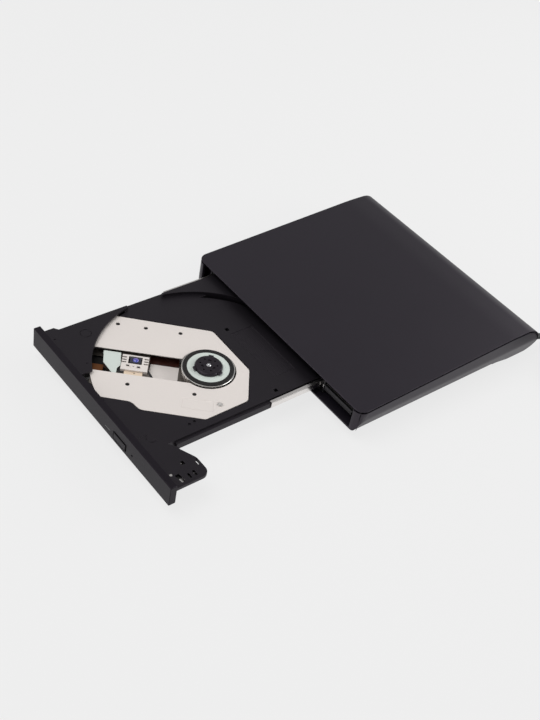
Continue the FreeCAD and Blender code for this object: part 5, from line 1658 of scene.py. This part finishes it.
@dataclass(frozen=True)
class Studio:
    """A pale floor, soft lamps and the camera.

    Attributes:
        pale: The background's colour.
        dim: What glossy surfaces see straight overhead.
        dimming: How steep a ray has to be where the dimming starts, and where it is full.
        fill: The light that comes from all round.
        floor_grey: The floor's own colour.
        floor_glow: How much of the background's colour the floor shows in place of its own.
        floor_size: The floor's side, in metres.
        floor_drop: How far it lies under the feet, in metres.
        lamps: Each lamp's name, its place, its side in metres and its power in watts.
        camera: The camera's place.
        azimuth: The camera's turn round the drive from the front, in degrees.
        elevation: The camera's height above the horizon, in degrees.
        roll: The tilt of the picture, in degrees.
        focal_pixels: The focal length in pixels of a picture 720 high.
        picture_height: That picture's height in pixels.
        sensor: The sensor's height.
    """

    pale: float = 0.863
    dim: float = 0.30
    dimming: Pair = (0.15, 0.75)
    fill: float = 0.42
    floor_grey: float = 0.80
    floor_glow: float = 0.88
    floor_size: float = 12.0
    floor_drop: float = 0.0002
    lamps: tuple[tuple[str, Triple, float, float], ...] = (
        ("key_lamp", (-250, -500, 1150), 0.9, 7.5),
        ("side_lamp", (700, 700, 450), 0.7, 5.0),
        ("front_lamp", (200, -1000, 500), 0.8, 0.8),
        ("rear_lamp", (60, 520, 330), 0.4, 0.9),
    )
    camera: Triple = (341.0, -417.6, 434.5)
    azimuth: float = 44.41
    elevation: float = 41.82
    roll: float = 11.66
    focal_pixels: float = 1174.34
    picture_height: float = 720.0
    sensor: float = 36.0

    def build(self) -> None:
        """Builds the camera, the world, the floor and the lamps."""
        self.build_camera()
        self.build_world()
        self.build_floor()
        for name, place, size, power in self.lamps:
            self.build_lamp(name, place, size, power)
        bpy.context.scene.view_settings.view_transform = "Standard"

    def build_camera(self) -> None:
        """The camera at the photograph's place and angle."""
        angles = (self.azimuth, self.elevation, self.roll)
        turn, rise, tilt = (math.radians(angle) for angle in angles)
        level = Vector((math.cos(turn), math.sin(turn), 0))
        ahead = Vector((-math.sin(turn), math.cos(turn), 0))
        forward = ahead * math.cos(rise) - Vector((0, 0, math.sin(rise)))
        above = level.cross(forward)
        right = level * math.cos(tilt) + above * math.sin(tilt)
        up = right.cross(forward)
        data = bpy.data.cameras.new("camera")
        data.sensor_fit = "VERTICAL"
        data.sensor_height = self.sensor
        data.lens = self.focal_pixels / self.picture_height * self.sensor
        data.clip_start = 0.01
        camera = bpy.data.objects.new("camera", data)
        bpy.context.scene.collection.objects.link(camera)
        axes = Matrix((right, up, -forward)).transposed().to_4x4()
        camera.matrix_world = Matrix.Translation(metres(self.camera)) @ axes
        bpy.context.scene.camera = camera

    def build_world(self) -> None:
        """Soft light all round, and a pale background that glossy surfaces see as well."""
        world = bpy.data.worlds.new("studio")
        bpy.context.scene.world = world
        world.use_nodes = True
        kit = ShaderKit(world.node_tree)
        path = kit.node("ShaderNodeLightPath", {}, {})
        way = kit.node("ShaderNodeSeparateXYZ", {}, {0: kit.coordinates.outputs["Generated"]})
        level, steep = self.dimming
        mirrored = kit.value(kit.node("ShaderNodeMapRange", {}, {
            "Value": way.outputs["Z"], "From Min": level, "From Max": steep,
            "To Min": self.pale, "To Max": self.dim,
        }))
        through = kit.value(path, "Is Transmission Ray")
        shiny = kit.value(path, "Is Glossy Ray").math("MAXIMUM", through)
        light = shiny * (mirrored - self.fill) + self.fill
        shown = kit.value(path, "Is Camera Ray") * (self.pale - light) + light
        background = kit.node("ShaderNodeBackground", {}, {"Color": shown})
        kit.node("ShaderNodeOutputWorld", {}, {"Surface": background.outputs[0]})

    def build_floor(self) -> None:
        """A wide pale floor that keeps a light shadow."""
        bpy.ops.object.select_all(action="DESELECT")
        bpy.ops.mesh.primitive_plane_add(size=self.floor_size, location=(0, 0, -self.floor_drop))
        floor = bpy.context.active_object
        floor.name = "floor"
        material, kit = new_material("floor")
        path = kit.node("ShaderNodeLightPath", {}, {})
        glossy = kit.value(path, "Is Glossy Ray")
        seen = kit.value(path, "Is Camera Ray").math("MAXIMUM", glossy)
        grey, pale = (opaque((level, level, level)) for level in (self.floor_grey, self.pale))
        lit = kit.node("ShaderNodeBsdfDiffuse", {}, {"Color": grey})
        glow = kit.node("ShaderNodeEmission", {}, {"Color": pale})
        mixed = kit.node("ShaderNodeMixShader", {}, {
            0: seen * self.floor_glow, 1: lit.outputs[0], 2: glow.outputs[0],
        })
        kit.node("ShaderNodeOutputMaterial", {}, {"Surface": mixed.outputs[0]})
        floor.data.materials.append(material)

    @staticmethod
    def build_lamp(name: str, place: Triple, size: float, power: float) -> None:
        """A square soft lamp that faces the drive.

        Args:
            name: The lamp's name.
            place: Its place.
            size: Its side, in metres.
            power: Its power in watts.
        """
        data = bpy.data.lights.new(name, "AREA")
        data.size = size
        data.energy = power
        lamp = bpy.data.objects.new(name, data)
        bpy.context.scene.collection.objects.link(lamp)
        lamp.location = metres(place)
        lamp.rotation_euler = (-metres(place)).to_track_quat("-Z", "Y").to_euler()


def slot_of(holder: bpy.types.MaterialSlot) -> Slot:
    """The record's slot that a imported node's material stands for."""
    return Slot(holder.material.name.split(".")[0])


def dress_nodes(nodes: Iterable[bpy.types.Object], palette: Palette) -> None:
    """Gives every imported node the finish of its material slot.

    Args:
        nodes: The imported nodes.
        palette: The finishes.
    """
    for node in nodes:
        for holder in node.material_slots:
            holder.material = palette.material(slot_of(holder))


def main() -> None:
    """Builds the whole scene."""
    logging.basicConfig(level=logging.INFO, format="%(message)s")
    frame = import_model()
    bezel_low, bezel_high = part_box("bezel")
    shaft_low, shaft_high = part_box("spindle_shaft")
    origin = Vector(((bezel_low.x + bezel_high.x) / 2, bezel_low.y, bezel_low.z)) / MM
    shaft = (shaft_low + shaft_high) / (2 * MM)
    hub = Vector((shaft.x, shaft.y, origin.z))
    slide = next(joint for joint in frame["joints"] if joint["name"] == "pickup_slide")
    slide_angle = math.atan2(slide["axis"][1], slide["axis"][0])
    panel = [tuple(origin + Vector(corner)) for corner in WOVEN_PANEL]
    palette = Palette(*panel, slide_angle)
    dress_nodes(frame["nodes"].values(), palette)
    Studio().build()
    for assembly in (Cord, Covers, Enclosure, Rails, Tray, Mechanism, Pickup, Turntable):
        assembly(palette, origin, hub, slide_angle).build()
        log.info("%s done", assembly.__name__)


if __name__ == "__main__":
    main()
